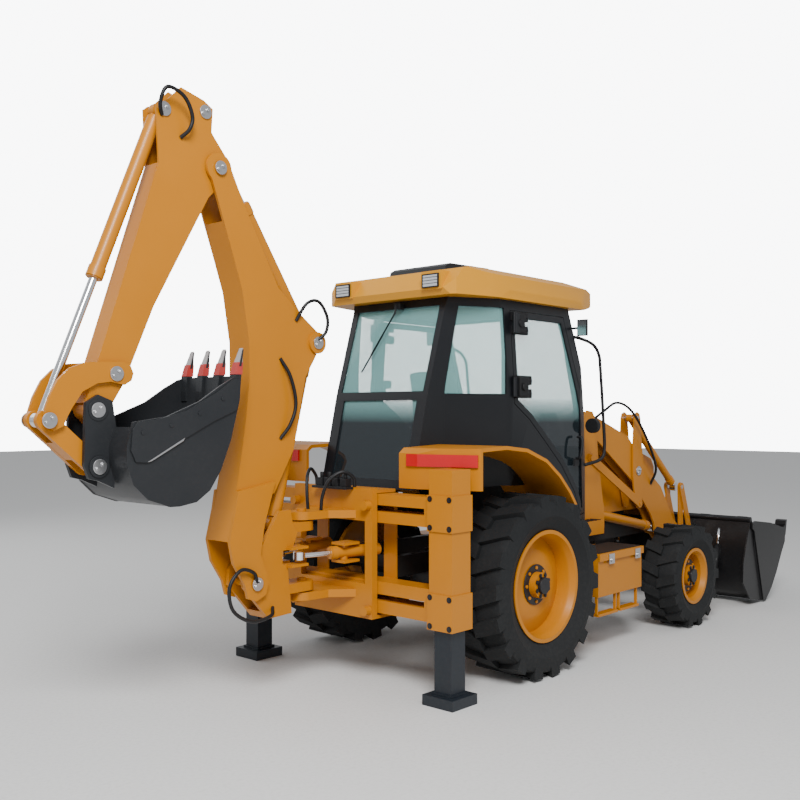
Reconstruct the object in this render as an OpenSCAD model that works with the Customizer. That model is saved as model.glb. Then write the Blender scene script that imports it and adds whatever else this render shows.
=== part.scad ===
// Backhoe loader with a side-shifting rear digger and a four-in-one front bucket.
// All sizes are in millimetres. X points forward, Y to the machine's left, Z up.
// Inside the modules X is measured from the rear axle; placed() moves the whole
// machine so that the origin lies on the ground under the middle of its length.

/* [Wheels] */
// Distance between the front and rear axles
wheelbase = 2370; // [2200:10:2500]
// Outer diameter of a rear tyre, to the lug tips
rear_tyre_d = 1340; // [1260:10:1400]
// Width of a rear tyre
rear_tyre_w = 470; // [400:10:480]
// Middle of a rear tyre from the machine's centre plane
rear_track_half = 905; // [890:5:930]
// Outer diameter of a front tyre, to the lug tips
front_tyre_d = 915; // [860:5:930]
// Width of a front tyre
front_tyre_w = 345; // [300:5:350]
// Middle of a front tyre from the machine's centre plane
front_track_half = 975; // [965:5:1000]
// Steering kingpin from the machine's centre plane
kingpin_y = 770; // [750:5:780]

/* [Chassis] */
// Top of the two frame rails above the ground
rail_top = 900; // [880:5:920]
// Height of a frame rail
rail_h = 150; // [120:5:180]
// Width of a frame rail
rail_w = 60; // [40:5:80]
// Outer face of a rail from the centre plane
rail_y = 350; // [330:5:370]

/* [Cab] */
// Half width of the cab at the belt line
cab_half_w = 740; // [720:5:750]
// Thickness of the cab's pillars and walls
cab_wall = 45; // [35:5:60]
// Thickness of the window glass
glass_t = 6; // [4:1:10]
// Height of the cab floor above the ground
floor_z = 1000; // [980:5:1040]
// Underside of the roof above the ground
roof_z = 2800; // [2760:5:2840]
// Thickness of a door panel
door_t = 32; // [25:1:40]
// Gap round a closed door
door_gap = 6; // [5:1:10]

/* [Loader] */
// Middle of a loader arm from the centre plane
arm_y = 465; // [462:1:470]
// Half width of a loader arm across its two plates
arm_half = 56; // [54:1:58]
// Thickness of a loader arm's side plate
arm_plate = 16; // [12:1:18]
// Full width of the loader bucket
loader_bucket_w = 2270; // [2200:10:2300]
// Wall thickness of the loader bucket
loader_wall = 16; // [12:1:20]
// Outer diameter of a lift cylinder
lift_d = 90; // [80:5:95]
// Outer diameter of a tilt cylinder
tilt_d = 70; // [60:2:72]

/* [Backhoe] */
// Half width of the boom over its side plates
boom_half = 104; // [98:1:108]
// Thickness of a boom side plate
boom_plate = 18; // [14:1:20]
// Half width of the dipper over its side plates
dipper_half = 74; // [70:1:78]
// Thickness of a dipper side plate
dipper_plate = 14; // [10:1:16]
// Width of the digger bucket
hoe_bucket_w = 590; // [560:10:600]
// Wall thickness of the digger bucket
hoe_wall = 16; // [12:1:20]
// Outer diameter of the boom and dipper cylinders
hoe_cyl_d = 105; // [90:5:110]
// Outer diameter of the bucket cylinder
bucket_cyl_d = 90; // [80:5:95]
// Diameter of a pivot pin
pin_d = 60; // [50:2:64]
// Running clearance between a pin and its bore
pin_gap = 0.8; // [0.6:0.1:0.9]

/* [Stabilisers] */
// Side of a stabiliser column
column_w = 195; // [185:5:205]
// Side of a stabiliser leg
leg_w = 145; // [135:5:147]
// Outer face of a column from the centre plane
column_y = 1080; // [1060:5:1100]
// Side of a stabiliser's foot pad
pad_w = 260; // [240:10:270]

/* [Hidden] */
$fn = 48;

yellow = [0.85, 0.55, 0.12];
roof_yellow = [0.88, 0.62, 0.20];
dark_grey = [0.22, 0.22, 0.24];
black = [0.06, 0.06, 0.07];
charcoal = [0.15, 0.16, 0.18];
steel = [0.75, 0.76, 0.78];
tinted = [0.55, 0.75, 0.75, 0.5];
red = [0.7, 0.05, 0.05];

// Ends of the whole machine, which set its origin
loader_tip_x = wheelbase + 2170;
machine_back_x = -3405.8;
mid_x = (loader_tip_x + machine_back_x) / 2;

// Pivots of the loader, [x, z]
tower_pivot = [1500, 1850];
lever_pivot = [2385, 1390];
lever_foot = [2400, 1080];
lever_head = [2370, 1890];
bar_foot = tower_pivot + lever_foot - lever_pivot;
guide_head = [3262, 1190];
guide_pivot = guide_head - lever_head + lever_pivot;
bucket_pivot = [3450, 250];
bucket_ear = bucket_pivot + lever_head - lever_pivot;
lift_foot = [1600, 1050];
lift_eye = [2780, 820];
jaw_pivot = [3655, 800];

// Pivots of the backhoe, [x, z]
king_x = -1420;
boom_foot = [-1920, 820];
boom_cyl_foot = [-1690, 1180];
lobe_pin = [-1370, 2420];
dipper_pivot = [-2200, 3480];
dipper_ear = [-2289, 3819];
bucket_cyl_foot = [-2591, 3770];
lever_a = [-2933, 2158];
lever_b = [-3351, 1891];
hoe_pivot = [-3053, 1948];
hoe_ear = [-3050, 1627];
swing_foot = [king_x + 230, 190];
swing_eye = [king_x - 110, 105];
swing_z = 960;

// Lanes across the machine, half widths from the centre plane
post_in = 66;
post_out = 98;
cheek_in = boom_half + 2;
cheek_out = cheek_in + 22;
ear_in = dipper_half + 6;
ear_out = ear_in + 26;
lever_in = arm_half + 5;
lever_out = lever_in + 14;
link_in = lever_out + 3;
link_out = link_in + 12;
tower_in = arm_half + 5;
tower_out = tower_in + 14;
eye_w = 52;
small_pin = 40;
rod_gap = 0.6;

// Moves a piece from axle coordinates to the machine's origin
module placed() { translate([-mid_x, 0, 0]) children(); }

// Repeats a piece on the other side of the centre plane
module both_sides() { children(); mirror([0, 1, 0]) children(); }

// Flat plate in the XZ plane between two Y values
module plate_xz(y0, y1) { translate([0, y1, 0]) rotate([90, 0, 0]) linear_extrude(y1 - y0) children(); }

// Flat plate in the YZ plane between two X values
module plate_yz(x0, x1) { translate([x0, 0, 0]) rotate([90, 0, 90]) linear_extrude(x1 - x0) children(); }

// Two plates either side of the plane y = mid, between half widths a and b
module plate_pair(mid, a, b) {
    plate_xz(mid - b, mid - a) children();
    plate_xz(mid + a, mid + b) children();
}

// Round bar along Y through the point p = [x, z]
module bar_y(p, d, y0, y1) { translate([p[0], y0, p[1]]) rotate([-90, 0, 0]) cylinder(d = d, h = y1 - y0); }

// Round bar in a plane of constant Y, from distance a to distance b along p to q
module bar_along(p, q, d, y, a, b) {
    dir = atan2(q[1] - p[1], q[0] - p[0]);
    translate([p[0], y, p[1]]) rotate([0, 90 - dir, 0]) translate([0, 0, a]) cylinder(d = d, h = b - a);
}

// Straight strap outline between two points with round ends
module strap(p, q, w) {
    dir = atan2(q[1] - p[1], q[0] - p[0]);
    polygon(concat([for (i = [0:10]) p + w / 2 * [cos(dir + 90 + 18 * i), sin(dir + 90 + 18 * i)]],
                   [for (i = [0:10]) q + w / 2 * [cos(dir - 90 + 18 * i), sin(dir - 90 + 18 * i)]]));
}

// Upright square bar about the line x, y between two heights
module square_bar(x, y, w, z0, z1) { translate([x - w / 2, y - w / 2, z0]) cube([w, w, z1 - z0]); }

// Round bar along X from the point p
module bar_x(p, d, len) { translate(p) rotate([0, 90, 0]) cylinder(d = d, h = len); }

// Box from its low corner to its high corner
module block(a, b) { translate(a) cube(b - a); }

// Barrel of a hydraulic cylinder with its foot eye at p and its mouth at distance len.
// The bore for the rod starts at distance from.
module barrel(p, q, d, y, len, rod_d, from, pin = pin_d, eye = eye_w) {
    difference() {
        union() {
            bar_along(p, q, d, y, pin * 0.9, len);
            bar_along(p, q, d + 12, y, len - 70, len - 5);
            bar_along(p, q, d * 0.7, y, 10, pin);
            bar_y(p, pin + 34, y - eye / 2, y + eye / 2);
        }
        bar_y(p, pin + 2 * pin_gap, y - d, y + d);
        bar_along(p, q, rod_d + 2 * rod_gap, y, from, len + 10);
    }
}

// Rod of a hydraulic cylinder with its eye and pin at q; its tail lies at distance from
module rod(p, q, d, y, from, eye = eye_w) {
    bar_along(p, q, d, y, from, norm(q - p) - pin_d * 0.6);
    bar_y(q, pin_d + 32, y - eye / 2, y + eye / 2);
}

// Chassis
module tower_side() {
    polygon([[1315, 900], [1315, 1020], [1360, 1500], [1400, 1900], [1470, 1960], [1560, 1950],
             [1620, 1860], [1660, 1500], [1760, 1050], [1760, 900]]);
}

module chassis_frame() {
    seats = [tower_pivot, bar_foot, lift_foot];
    placed() color(yellow) {
        both_sides() {
            block([-870, rail_y - rail_w, rail_top - rail_h], [2950, rail_y, rail_top]);
            plate_pair(arm_y, tower_in, tower_out) tower_side();
            for (p = seats) bar_y(p, pin_d, arm_y - tower_out, arm_y + tower_out);
            bar_y(bar_foot, pin_d, arm_y + tower_out - 1, arm_y + tower_out + 30);
            block([1180, rail_y - 4, rail_top - 60], [1760, arm_y + tower_out, rail_top + 4]);
            block([1320, arm_y - tower_out, 880], [1340, arm_y + tower_out, 1010]);
        }
        for (x = [-700, 700, 1880, 2200, 2500]) block([x, -rail_y, rail_top - 110], [x + 90, rail_y, rail_top - 20]);
        difference() {
            block([2950, -365, 560], [3000, 365, 980]);
            bar_x([2940, 0, 640], 52, 100);
        }
        block([2200, -180, 590], [2560, 180, rail_top - 100]);
        for (x = [2150, 2510]) block([x, -130, 420], [x + 80, 130, 600]);
    }
}

// Rear frame with the stabiliser columns
column_x = -885;
column_top = 1560;
column_foot = 500;
frame_back = -1060;

module rear_frame() {
    x = column_x - column_w / 2;
    y = column_y - column_w / 2;
    placed() color(yellow) {
        both_sides() difference() {
            union() {
                block([column_x - column_w, column_y - column_w, column_foot], [column_x, column_y, column_top]);
                for (z = [500, 1150]) block([column_x - column_w - 10, column_y - column_w - 10, z],
                                            [column_x + 10, column_y + 10, z + 240]);
            }
            square_bar(x, y, leg_w + 14, column_foot + 60, column_top - 12);
            square_bar(x, y, leg_w + 1.6, column_foot - 10, column_foot + 61);
        }
        for (z = [[1170, 1370], [540, 760]]) difference() {
            block([frame_back, -column_y + column_w - 2, z[0]], [-900, column_y - column_w + 2, z[1]]);
            block([frame_back - 5, -column_y + column_w + 60, (z[0] + z[1]) / 2 - 22],
                  [-890, column_y - column_w - 60, (z[0] + z[1]) / 2 + 22]);
        }
        both_sides() {
            block([-882, rail_y - rail_w, 560], [-870, rail_y + 60, 1350]);
            for (z = [[560, 760], [1170, 1350]]) block([-905, rail_y - rail_w, z[0]], [-870, rail_y + 60, z[1]]);
        }
    }
}

// Axles
module front_axle() {
    z = front_tyre_d / 2;
    translate([wheelbase, 0, 0]) {
        plate_yz(-60, 60) polygon([[-640, z - 60], [-180, z - 95], [180, z - 95], [640, z - 60],
                                   [640, z + 60], [180, z + 80], [-180, z + 80], [-640, z + 60]]);
        bar_x([-140, 0, z + 20], 90, 280);
        both_sides() for (s = [z - 92, z + 57])
            block([-55, 600, s], [55, kingpin_y + 50, s + 35]);
        both_sides() translate([0, kingpin_y, z - 90]) cylinder(d = 44, h = 180);
    }
}

module rear_axle() {
    z = rear_tyre_d / 2;
    bar_y([0, z], 156, -620, 620);
    translate([0, 0, z]) sphere(d = 380);
    both_sides() bar_y([0, z], 300, 580, 660);
    both_sides() bar_y([0, z], 110, 650, rear_track_half - rear_hub_back - 0.5);
    both_sides() block([-110, rail_y - rail_w, z], [110, rail_y, rail_top - rail_h]);
}

module axles() {
    placed() color(yellow) {
        front_axle();
        rear_axle();
    }
}

module engine_block() {
    placed() color(dark_grey) block([1820, -240, rail_top - 20], [2650, 240, 1330]);
}

// Wheels
// Section of a tyre: half width w, outer radius r, bead radius b, in [radius, y]
module tyre_section(w, r, b) {
    polygon([[b, -w * 0.72], [b + 25, -w * 0.80], [(b + r) / 2, -w], [r - 70, -w * 0.98], [r - 12, -w * 0.90],
             [r, -w * 0.70], [r, w * 0.70], [r - 12, w * 0.90], [r - 70, w * 0.98], [(b + r) / 2, w],
             [b + 25, w * 0.80], [b, w * 0.72]]);
}

// One row of slanting tread bars on the +Y half of a tyre, n bars of height h, turned by start degrees
module tread_row(d, w, h, n, start, len) {
    lean = 0.2 * w;
    top = sqrt(d * d / 4 - lean * lean);
    for (k = [0:n - 1]) rotate([0, start + k * 360 / n, 0])
        translate([0, 0, d / 2 - h - 56]) linear_extrude(top - d / 2 + h + 56)
            polygon([[-lean, -0.02 * w], [-lean + len, -0.02 * w], [lean, 0.475 * w], [lean - len, 0.475 * w]]);
}

// Tyre with n bars in each row
module tyre(d, w, bead, h, n, len) {
    rotate([90, 0, 0]) rotate_extrude($fn = 96) tyre_section(w / 2, d / 2 - h, bead);
    tread_row(d, w, h, n, 0, len);
    mirror([0, 1, 0]) tread_row(d, w, h, n, 180 / n, len);
}

// Rim: dish with its hub, outer face towards +Y
module rim(w, bead) {
    rotate([-90, 0, 0]) {
        rotate_extrude($fn = 96) {
            polygon([[bead - 0.5, -w * 0.36], [bead - 0.5, w * 0.36], [bead + 14, w * 0.40], [bead + 14, w * 0.42],
                     [bead - 14, w * 0.42], [bead - 40, w * 0.30], [bead - 40, -w * 0.30],
                     [bead - 14, -w * 0.42], [bead + 14, -w * 0.42], [bead + 14, -w * 0.40]]);
            polygon([[70, w * 0.10], [bead * 0.55, w * 0.10], [bead - 39, w * 0.02], [bead - 39, w * 0.10],
                     [bead * 0.58, w * 0.18], [70, w * 0.18]]);
        }
        translate([0, 0, -w * 0.02]) cylinder(d = 190, h = w * 0.34);
        for (k = [0:7]) rotate(45 * k) translate([125, 0, w * 0.17]) cylinder(d = 26, h = 24, $fn = 6);
    }
}

rear_hub_back = rear_tyre_w * 0.02;
front_hub_back = front_tyre_w * 0.02;
rear_bead = rear_tyre_d * 0.295;
front_bead = front_tyre_d * 0.26;

module rear_wheel_at(side) { translate([0, side * rear_track_half, rear_tyre_d / 2]) children(); }
module front_wheel_at(side) { translate([wheelbase, side * front_track_half, front_tyre_d / 2]) children(); }
module facing(side) { if (side > 0) children(); else mirror([0, 1, 0]) children(); }

module front_tyre() { tyre(front_tyre_d, front_tyre_w, front_bead, 30, 14, 80); }
module rear_tyre() { tyre(rear_tyre_d, rear_tyre_w, rear_bead, 40, 18, 105); }
module tyre_front_left() { placed() color(black) front_wheel_at(1) front_tyre(); }
module tyre_front_right() { placed() color(black) front_wheel_at(-1) front_tyre(); }
module tyre_rear_left() { placed() color(black) rear_wheel_at(1) rear_tyre(); }
module tyre_rear_right() { placed() color(black) rear_wheel_at(-1) rear_tyre(); }
module rim_front_left() { placed() color(yellow) front_wheel_at(1) facing(1) rim(front_tyre_w, front_bead); }
module rim_front_right() { placed() color(yellow) front_wheel_at(-1) facing(-1) rim(front_tyre_w, front_bead); }
module rim_rear_left() { placed() color(yellow) rear_wheel_at(1) facing(1) rim(rear_tyre_w, rear_bead); }
module rim_rear_right() { placed() color(yellow) rear_wheel_at(-1) facing(-1) rim(rear_tyre_w, rear_bead); }

module knuckle() {
    z = front_tyre_d / 2;
    difference() {
        union() {
            translate([wheelbase, kingpin_y, z - 52]) cylinder(d = 96, h = 104);
            translate([wheelbase, 0, 0]) bar_y([0, z], 88, kingpin_y + 20, front_track_half - front_hub_back - 0.5);
            block([wheelbase - 170, kingpin_y - 20, z - 16], [wheelbase - 20, kingpin_y + 20, z + 16]);
        }
        translate([wheelbase, kingpin_y, z - 100]) cylinder(d = 44 + 2 * pin_gap, h = 200);
    }
}

module knuckle_left() { placed() color(dark_grey) knuckle(); }
module knuckle_right() { placed() color(dark_grey) mirror([0, 1, 0]) knuckle(); }

// Cab
function mirrored(pts) = concat(pts, [for (i = [len(pts) - 1:-1:0]) [pts[i][0], -pts[i][1]]]);

cab_side = [[-780, 1380], [-620, 2060], [-400, roof_z], [935, roof_z], [1200, 1945], [1300, floor_z],
            [480, floor_z], [350, 1380]];
cab_plan = mirrored([[-800, 470], [-420, 480], [60, cab_half_w - 12], [1050, cab_half_w - 12],
                     [1250, 650], [1335, 380]]);
cab_front = [[-cab_half_w, 900], [-cab_half_w, 1950], [-cab_half_w + 60, roof_z + 10],
             [cab_half_w - 60, roof_z + 10], [cab_half_w, 1950], [cab_half_w, 900]];

module cab_form(inset) {
    intersection() {
        plate_xz(-900, 900) offset(delta = -inset) polygon(cab_side);
        translate([0, 0, 800]) linear_extrude(2200) offset(delta = -inset) polygon(cab_plan);
        plate_yz(-1000, 1500) offset(delta = -inset) polygon(cab_front);
    }
}

// Room cut out of the cab for the rear wheels
module wheel_arches(inset) {
    both_sides() bar_y([0, rear_tyre_d / 2], rear_tyre_d + 90 + 2 * inset, 640 - inset, 900);
}

module cab_solid(inset) {
    difference() {
        cab_form(inset);
        wheel_arches(inset);
    }
}

module cab_skin(outer, inner) {
    difference() {
        cab_solid(outer);
        cab_solid(inner);
    }
}

door_hinge_x = 80;

// Door outline on the cab's side, [x, z]
door_outline = [[110, 2720], [850, 2720], [1105, 1945], [1190, 1090], [1060, 1090], [960, 1290],
                [760, 1520], [520, 1720], [310, 1890], [110, 2010]];

module side_cut(y0) {
    both_sides() plate_xz(y0, 900) children();
}

module quarter_outline() { polygon([[-430, 2080], [30, 2080], [30, 2735], [-325, 2735]]); }

module window_volumes(grow = 0) {
    block([-1000, -425 - grow, 2095 - grow], [-250, 425 + grow, 2740 + grow]);
    block([-1000, -380 - grow, 1445 - grow], [-500, 380 + grow, 2030 + grow]);
    block([900, -600 - grow, 1300 - grow], [1500, 600 + grow, 2740 + grow]);
    side_cut(440) offset(delta = grow) quarter_outline();
}

module cab_frame() {
    placed() color(black) {
        difference() {
            cab_skin(0, cab_wall);
            window_volumes();
            side_cut(500) offset(delta = door_gap) polygon(door_outline);
        }
        both_sides() {
            block([938, 660, 2628], [958, 800, 2646]);
            block([930, 770, 2570], [952, 862, 2705]);
        }
        plate_xz(-290, 290)
            polygon([[-200, roof_z + 234], [0, roof_z + 248.4], [430, roof_z + 250.3], [410, roof_z + 300],
                     [350, roof_z + 312], [-130, roof_z + 302], [-185, roof_z + 276]]);
    }
}

module cab_glass() {
    placed() color(tinted) intersection() {
        cab_skin(15, 15 + glass_t);
        window_volumes(-0.3);
    }
}

module door_panel() {
    difference() {
        intersection() { cab_skin(0, door_t); plate_xz(300, 900) polygon(door_outline); }
        plate_xz(300, 900) offset(delta = -48) polygon(door_outline);
    }
    intersection() {
        cab_skin(15, 15 + glass_t);
        plate_xz(300, 900) offset(delta = -48.3) polygon(door_outline);
    }
    for (hinge = [[2060, 40], [2550, 66]]) translate([0, cab_half_w, hinge[0]]) {
        block([112, -hinge[1], 0], [154, 6, 150]);
        block([80, -6, 0], [115, 18, 150]);
        translate([door_hinge_x, 10, 0]) cylinder(d = 32, h = 150);
    }
}

module door_left() { placed() color(black) door_panel(); }
module door_right() { placed() color(black) mirror([0, 1, 0]) door_panel(); }

module cab_roof() {
    placed() color(roof_yellow) {
        both_sides() block([-556, 362, roof_z + 40], [-400, 550, roof_z + 176]);
        intersection() {
            plate_xz(-900, 900) polygon([[-520, roof_z], [-545, roof_z + 50], [-440, roof_z + 195],
                                         [-300, roof_z + 225], [0, roof_z + 248], [500, roof_z + 250],
                                         [900, roof_z + 225], [1180, roof_z + 175], [1395, roof_z + 140],
                                         [1400, roof_z + 90], [1250, roof_z + 30], [1100, roof_z]]);
            translate([0, 0, 2000]) linear_extrude(1500)
                polygon(mirrored([[-545, 560], [-500, 650], [-250, 720], [0, 765], [1000, 765], [1290, 680],
                                  [1400, 430]]));
            plate_yz(-1000, 1500) polygon([[-745, roof_z], [-768, roof_z + 60], [-735, roof_z + 170],
                                           [-640, roof_z + 222], [-300, roof_z + 252], [300, roof_z + 252],
                                           [640, roof_z + 222], [735, roof_z + 170], [768, roof_z + 60],
                                           [745, roof_z]]);
        }
    }
}

fender_top = [[-940, 1408], [-945, 1500], [-935, 1650], [-880, 1690], [-500, 1705], [-250, 1680], [0, 1595],
              [180, 1475], [320, 1345], [405, 1240]];
fender_t = 26;

// Solid under a rear fender, its top and rear faces moved in by inset
module fender_body(inset) {
    intersection() {
        plate_xz(480 - inset, 1100 + inset) offset(delta = -inset) polygon(concat(fender_top, [[420, 900], [-940, 900]]));
        translate([0, 0, 850]) linear_extrude(1000)
            polygon([[-930 + inset, 400], [-930 + inset, 660], [-868 + inset, 868], [-790 + inset, 1130],
                     [500, 1130], [500, 400]]);
    }
}

module rear_fenders() {
    placed() color(yellow) both_sides() difference() {
        fender_body(0);
        fender_body(fender_t);
        plate_xz(300, 1200) polygon([[-1100, 1408], [-1100, 800], [500, 800], [500, 1240], [300, 1240], [0, 1408]]);
        cab_form(-0.3);
    }
}

module cab_interior() {
    placed() color(dark_grey) {
        block([515, -560, floor_z + cab_wall], [1180, 560, floor_z + cab_wall + 16]);
        block([-560, -400, 1380 + cab_wall], [330, 400, 1380 + cab_wall + 16]);
        block([0, -180, 1380 + cab_wall + 16], [330, 180, 1560]);
        block([980, -110, floor_z + cab_wall + 16], [1120, 110, 1600]);
        translate([985, 0, 1600]) rotate([0, -25, 0]) {
            cylinder(d = 50, h = 140);
            translate([0, 0, 140]) rotate_extrude() translate([180, 0]) circle(d = 30);
            translate([-185, -15, 130]) cube([370, 30, 16]);
        }
    }
}

module seat() {
    placed() color(black) {
        block([20, -250, 1560.3], [500, 250, 1690]);
        plate_xz(-240, 240) polygon([[20, 1690], [130, 1690], [60, 2300], [-50, 2300]]);
    }
}

// Boxes and steps on the sides
module side_boxes() {
    placed() {
        color(yellow) difference() {
            block([880, -1000, 450], [1590, -680, 780]);
            block([900, -980, 470], [1570, -700, 790]);
        }
        color(yellow) block([960, -655, 880], [1560, -arm_y - tower_out, 1000]);
        color(yellow) for (x = [900, 1490]) block([x, -690, rail_top - rail_h + 2], [x + 60, -rail_y, 778]);
        color(yellow) block([700, rail_y, 480], [1560, 900, 838]);
    }
}

module toolbox_lid() {
    placed() color(yellow) {
        block([876, -1006, 780.6], [1594, -672, 800]);
        block([876, -1020, 740], [1594, -1005, 800]);
    }
}

module lamps() {
    placed() color(red) {
        both_sides() block([-568, 386, roof_z + 62], [-556.3, 526, roof_z + 146]);
        both_sides() translate([0, 0, 1565]) linear_extrude(85)
            polygon([[-930.6, 560], [-930.6, 660], [-868.6, 868.2], [-804, 1085], [-820, 1090], [-884, 872],
                     [-946, 664], [-946, 560]]);
    }
}

module hood() {
    placed() color(yellow) {
        difference() {
            plate_xz(-360, 360) polygon([[1420, 1000], [1420, 1700], [1800, 1690], [2600, 1600], [2980, 1480],
                                         [3035, 1400], [3040, 1000]]);
            plate_xz(-340, 340) polygon([[1400, 980], [1400, 1680], [1800, 1670], [2595, 1580], [2965, 1465],
                                         [3015, 1390], [3020, 980]]);
            for (z = [1060:70:1340]) block([2990, -280, z], [3100, 280, z + 34]);
            both_sides() for (x = [2500:62:2880]) block([x, 352, 1120], [x + 36, 370, 1340]);
        }
        translate([1800, -170, 1672]) cylinder(d = 60, h = 90);
        translate([1800, -170, 1750]) cylinder(d = 150, h = 110);
    }
}

// Loader
module arm_outline() {
    polygon([[1440, 1770], [1430, 1900], [1500, 1950], [2220, 1720], [2640, 1360], [2873, 1213], [3130, 880],
             [3300, 760], [3345, 690], [3330, 600], [3512, 292], [3500, 195], [3405, 190], [3120, 520], [2840, 740],
             [2750, 765], [2735, 860], [2660, 960], [2300, 1300], [1560, 1760]]);
}

module loader_arms() {
    pivots = [tower_pivot, lever_pivot, guide_pivot, bucket_pivot];
    placed() color(yellow) {
        both_sides() difference() {
            union() {
                plate_pair(arm_y, arm_half - arm_plate, arm_half) {
                    arm_outline();
                    translate(bucket_pivot) circle(r = 75);
                    translate(guide_pivot) circle(r = 70);
                }
                plate_xz(arm_y - arm_half + 1, arm_y + arm_half - 1) difference() {
                    arm_outline();
                    polygon([[1300, 1500], [1400, 1930], [2200, 1706], [2190, 3000], [4000, 3000], [4000, 0]]);
                }
                for (p = pivots) bar_y(p, pin_d + 50, arm_y - arm_half, arm_y + arm_half);
            }
            for (p = pivots) bar_y(p, pin_d + 2 * pin_gap, arm_y - 80, arm_y + 80);
        }
        bar_y([3140, 600], 110, -arm_y + arm_half - 2, arm_y - arm_half + 2);
    }
}

module lift_barrels() {
    placed() color(yellow) both_sides() barrel(lift_foot, lift_eye, lift_d, arm_y, 1095, 50, 78);
}
module lift_rods() {
    placed() color(steel) both_sides() rod(lift_foot, lift_eye, 50, arm_y, 106);
}

module tilt_levers() {
    placed() color(yellow) both_sides() {
        difference() {
            plate_pair(arm_y, lever_in, lever_out)
                polygon([[2350, 1080], [2364, 1044], [2400, 1028], [2436, 1044], [2452, 1080], [2484, 1250],
                         [2486, 1420], [2462, 1600], [2428, 1890], [2411, 1931], [2370, 1948], [2329, 1931],
                         [2312, 1890], [2290, 1600], [2288, 1420], [2300, 1250]]);
            bar_y(lever_head, small_pin + 2 * pin_gap, arm_y - 100, arm_y + 100);
        }
        bar_y(lever_pivot, pin_d, arm_y - lever_out, arm_y + lever_out);
        bar_y(lever_foot, small_pin, arm_y + lever_in, arm_y + link_out + 6);
    }
}

module level_bars() {
    placed() color(yellow) both_sides() difference() {
        plate_xz(arm_y + link_in, arm_y + link_out) strap(bar_foot, lever_foot, 80);
        bar_y(bar_foot, pin_d + 2 * pin_gap, arm_y, arm_y + 200);
        bar_y(lever_foot, small_pin + 2 * pin_gap, arm_y, arm_y + 200);
    }
}

module loader_pins(p, d, reach) { placed() color(steel) both_sides() bar_y(p, d, arm_y - reach, arm_y + reach); }
module lever_pins() { loader_pins(lever_head, small_pin, lever_out + 2); }
module guide_pins() { loader_pins(guide_pivot, pin_d, lever_out + 2); }
module bucket_pins() { loader_pins(bucket_pivot, pin_d, lever_out + 2); }
module link_pins() {
    placed() color(steel) both_sides() plate_pair(arm_y, lever_in - 2, link_out + 2)
        translate(guide_head) circle(d = small_pin);
}

module tilt_barrels() {
    placed() color(yellow) both_sides() barrel(lever_head, guide_head, tilt_d, arm_y, 1060, 45, 70, small_pin);
}
module tilt_rods() {
    placed() color(steel) both_sides() {
        bar_along(lever_head, guide_head, 45, arm_y, 76, norm(guide_head - lever_head) - 30);
        bar_y(guide_head, 84, arm_y - eye_w / 2, arm_y + eye_w / 2);
    }
}

module guide_levers() {
    placed() color(yellow) both_sides() difference() {
        plate_pair(arm_y, lever_in, lever_out) strap(guide_pivot, guide_head, 90);
        bar_y(guide_pivot, pin_d + 2 * pin_gap, arm_y - 100, arm_y + 100);
        bar_y(guide_head, small_pin + 2 * pin_gap, arm_y - 100, arm_y + 100);
    }
}

module bucket_links() {
    placed() color(yellow) both_sides() difference() {
        plate_pair(arm_y, link_in, link_out) strap(guide_head, bucket_ear, 84);
        for (p = [guide_head, bucket_ear]) bar_y(p, small_pin + 2 * pin_gap, arm_y - 120, arm_y + 120);
    }
}

// Section of the bucket's fixed back, rolled fully back, [x, z]
back_line = [[3632, 880], [3552, 640], [3540, 420], [3562, 250], [3640, 130], [3790, 52], [3872, 32]];
// Outline of the jaw's side plate
jaw_side = [[3672, 752], [3625, 780], [3628, 832], [3700, 850], [4090, 802], [4440, 722], [4500, 750],
            [4480, 572], [4395, 472], [4250, 273], [4116, 129], [3950, 10], [3905, 24]];
// Outline of the wings that carry the jaw's pivots, behind the back plate
wing_side = [[3439, 258], [3610, 73], [3780, 42], [3872, 32], [3740, 440], [3690, 760], [3650, 886], [3560, 720],
             [3450, 450]];

module loader_bucket() {
    half = loader_bucket_w / 2 - loader_wall - 4;
    placed() color(black) {
        plate_xz(-half, half) polygon(concat(back_line,
            [for (i = [len(back_line) - 1:-1:0]) back_line[i] + [12, 12]]));
        both_sides() {
            plate_xz(half - loader_wall, half) polygon(wing_side);
            bar_y(jaw_pivot, small_pin, half - 1, half + loader_wall + 4);
            difference() {
                union() {
                    plate_xz(arm_y + lever_in, arm_y + lever_out) ear_outline(800);
                    plate_xz(arm_y - lever_out, arm_y - lever_in) ear_outline(800);
                }
                bar_y(bucket_pivot, pin_d + 2 * pin_gap, arm_y - 100, arm_y + 100);
            }
            plate_pair(arm_y, lever_in, link_out + 4) translate(bucket_ear) circle(d = small_pin);
        }
        bar_y([3625, 862], 44, -half, half);
    }
}
module ear_outline(top) {
    polygon([[3420, 180], [3398, 215], [3400, 300], [3404, 740], [3420, 790], [3470, 795], [3590, 790], [3556, 640],
             [3546, 420], [3566, 250], [3605, 190], [3560, 175]]);
}

module bucket_jaw() {
    half = loader_bucket_w / 2;
    floor_line = [for (i = [7:12]) jaw_side[i]];
    tooth_step = (loader_bucket_w - 110) / 5;
    placed() color(black) {
        plate_xz(-half, half) polygon(concat([[4500, 750]], floor_line,
            [for (i = [5:-1:0]) floor_line[i] + [-12, 14]], [[4484, 750]]));
        both_sides() difference() {
            plate_xz(half - loader_wall, half) polygon(jaw_side);
            bar_y(jaw_pivot, small_pin + 2 * pin_gap, 900, 1300);
        }
        for (k = [0:5]) plate_xz(-half + k * tooth_step, -half + k * tooth_step + 110)
            polygon([[4484, 640], [4500, 640], [loader_tip_x, 800], [4500, 790], [4484, 740]]);
    }
}

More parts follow.
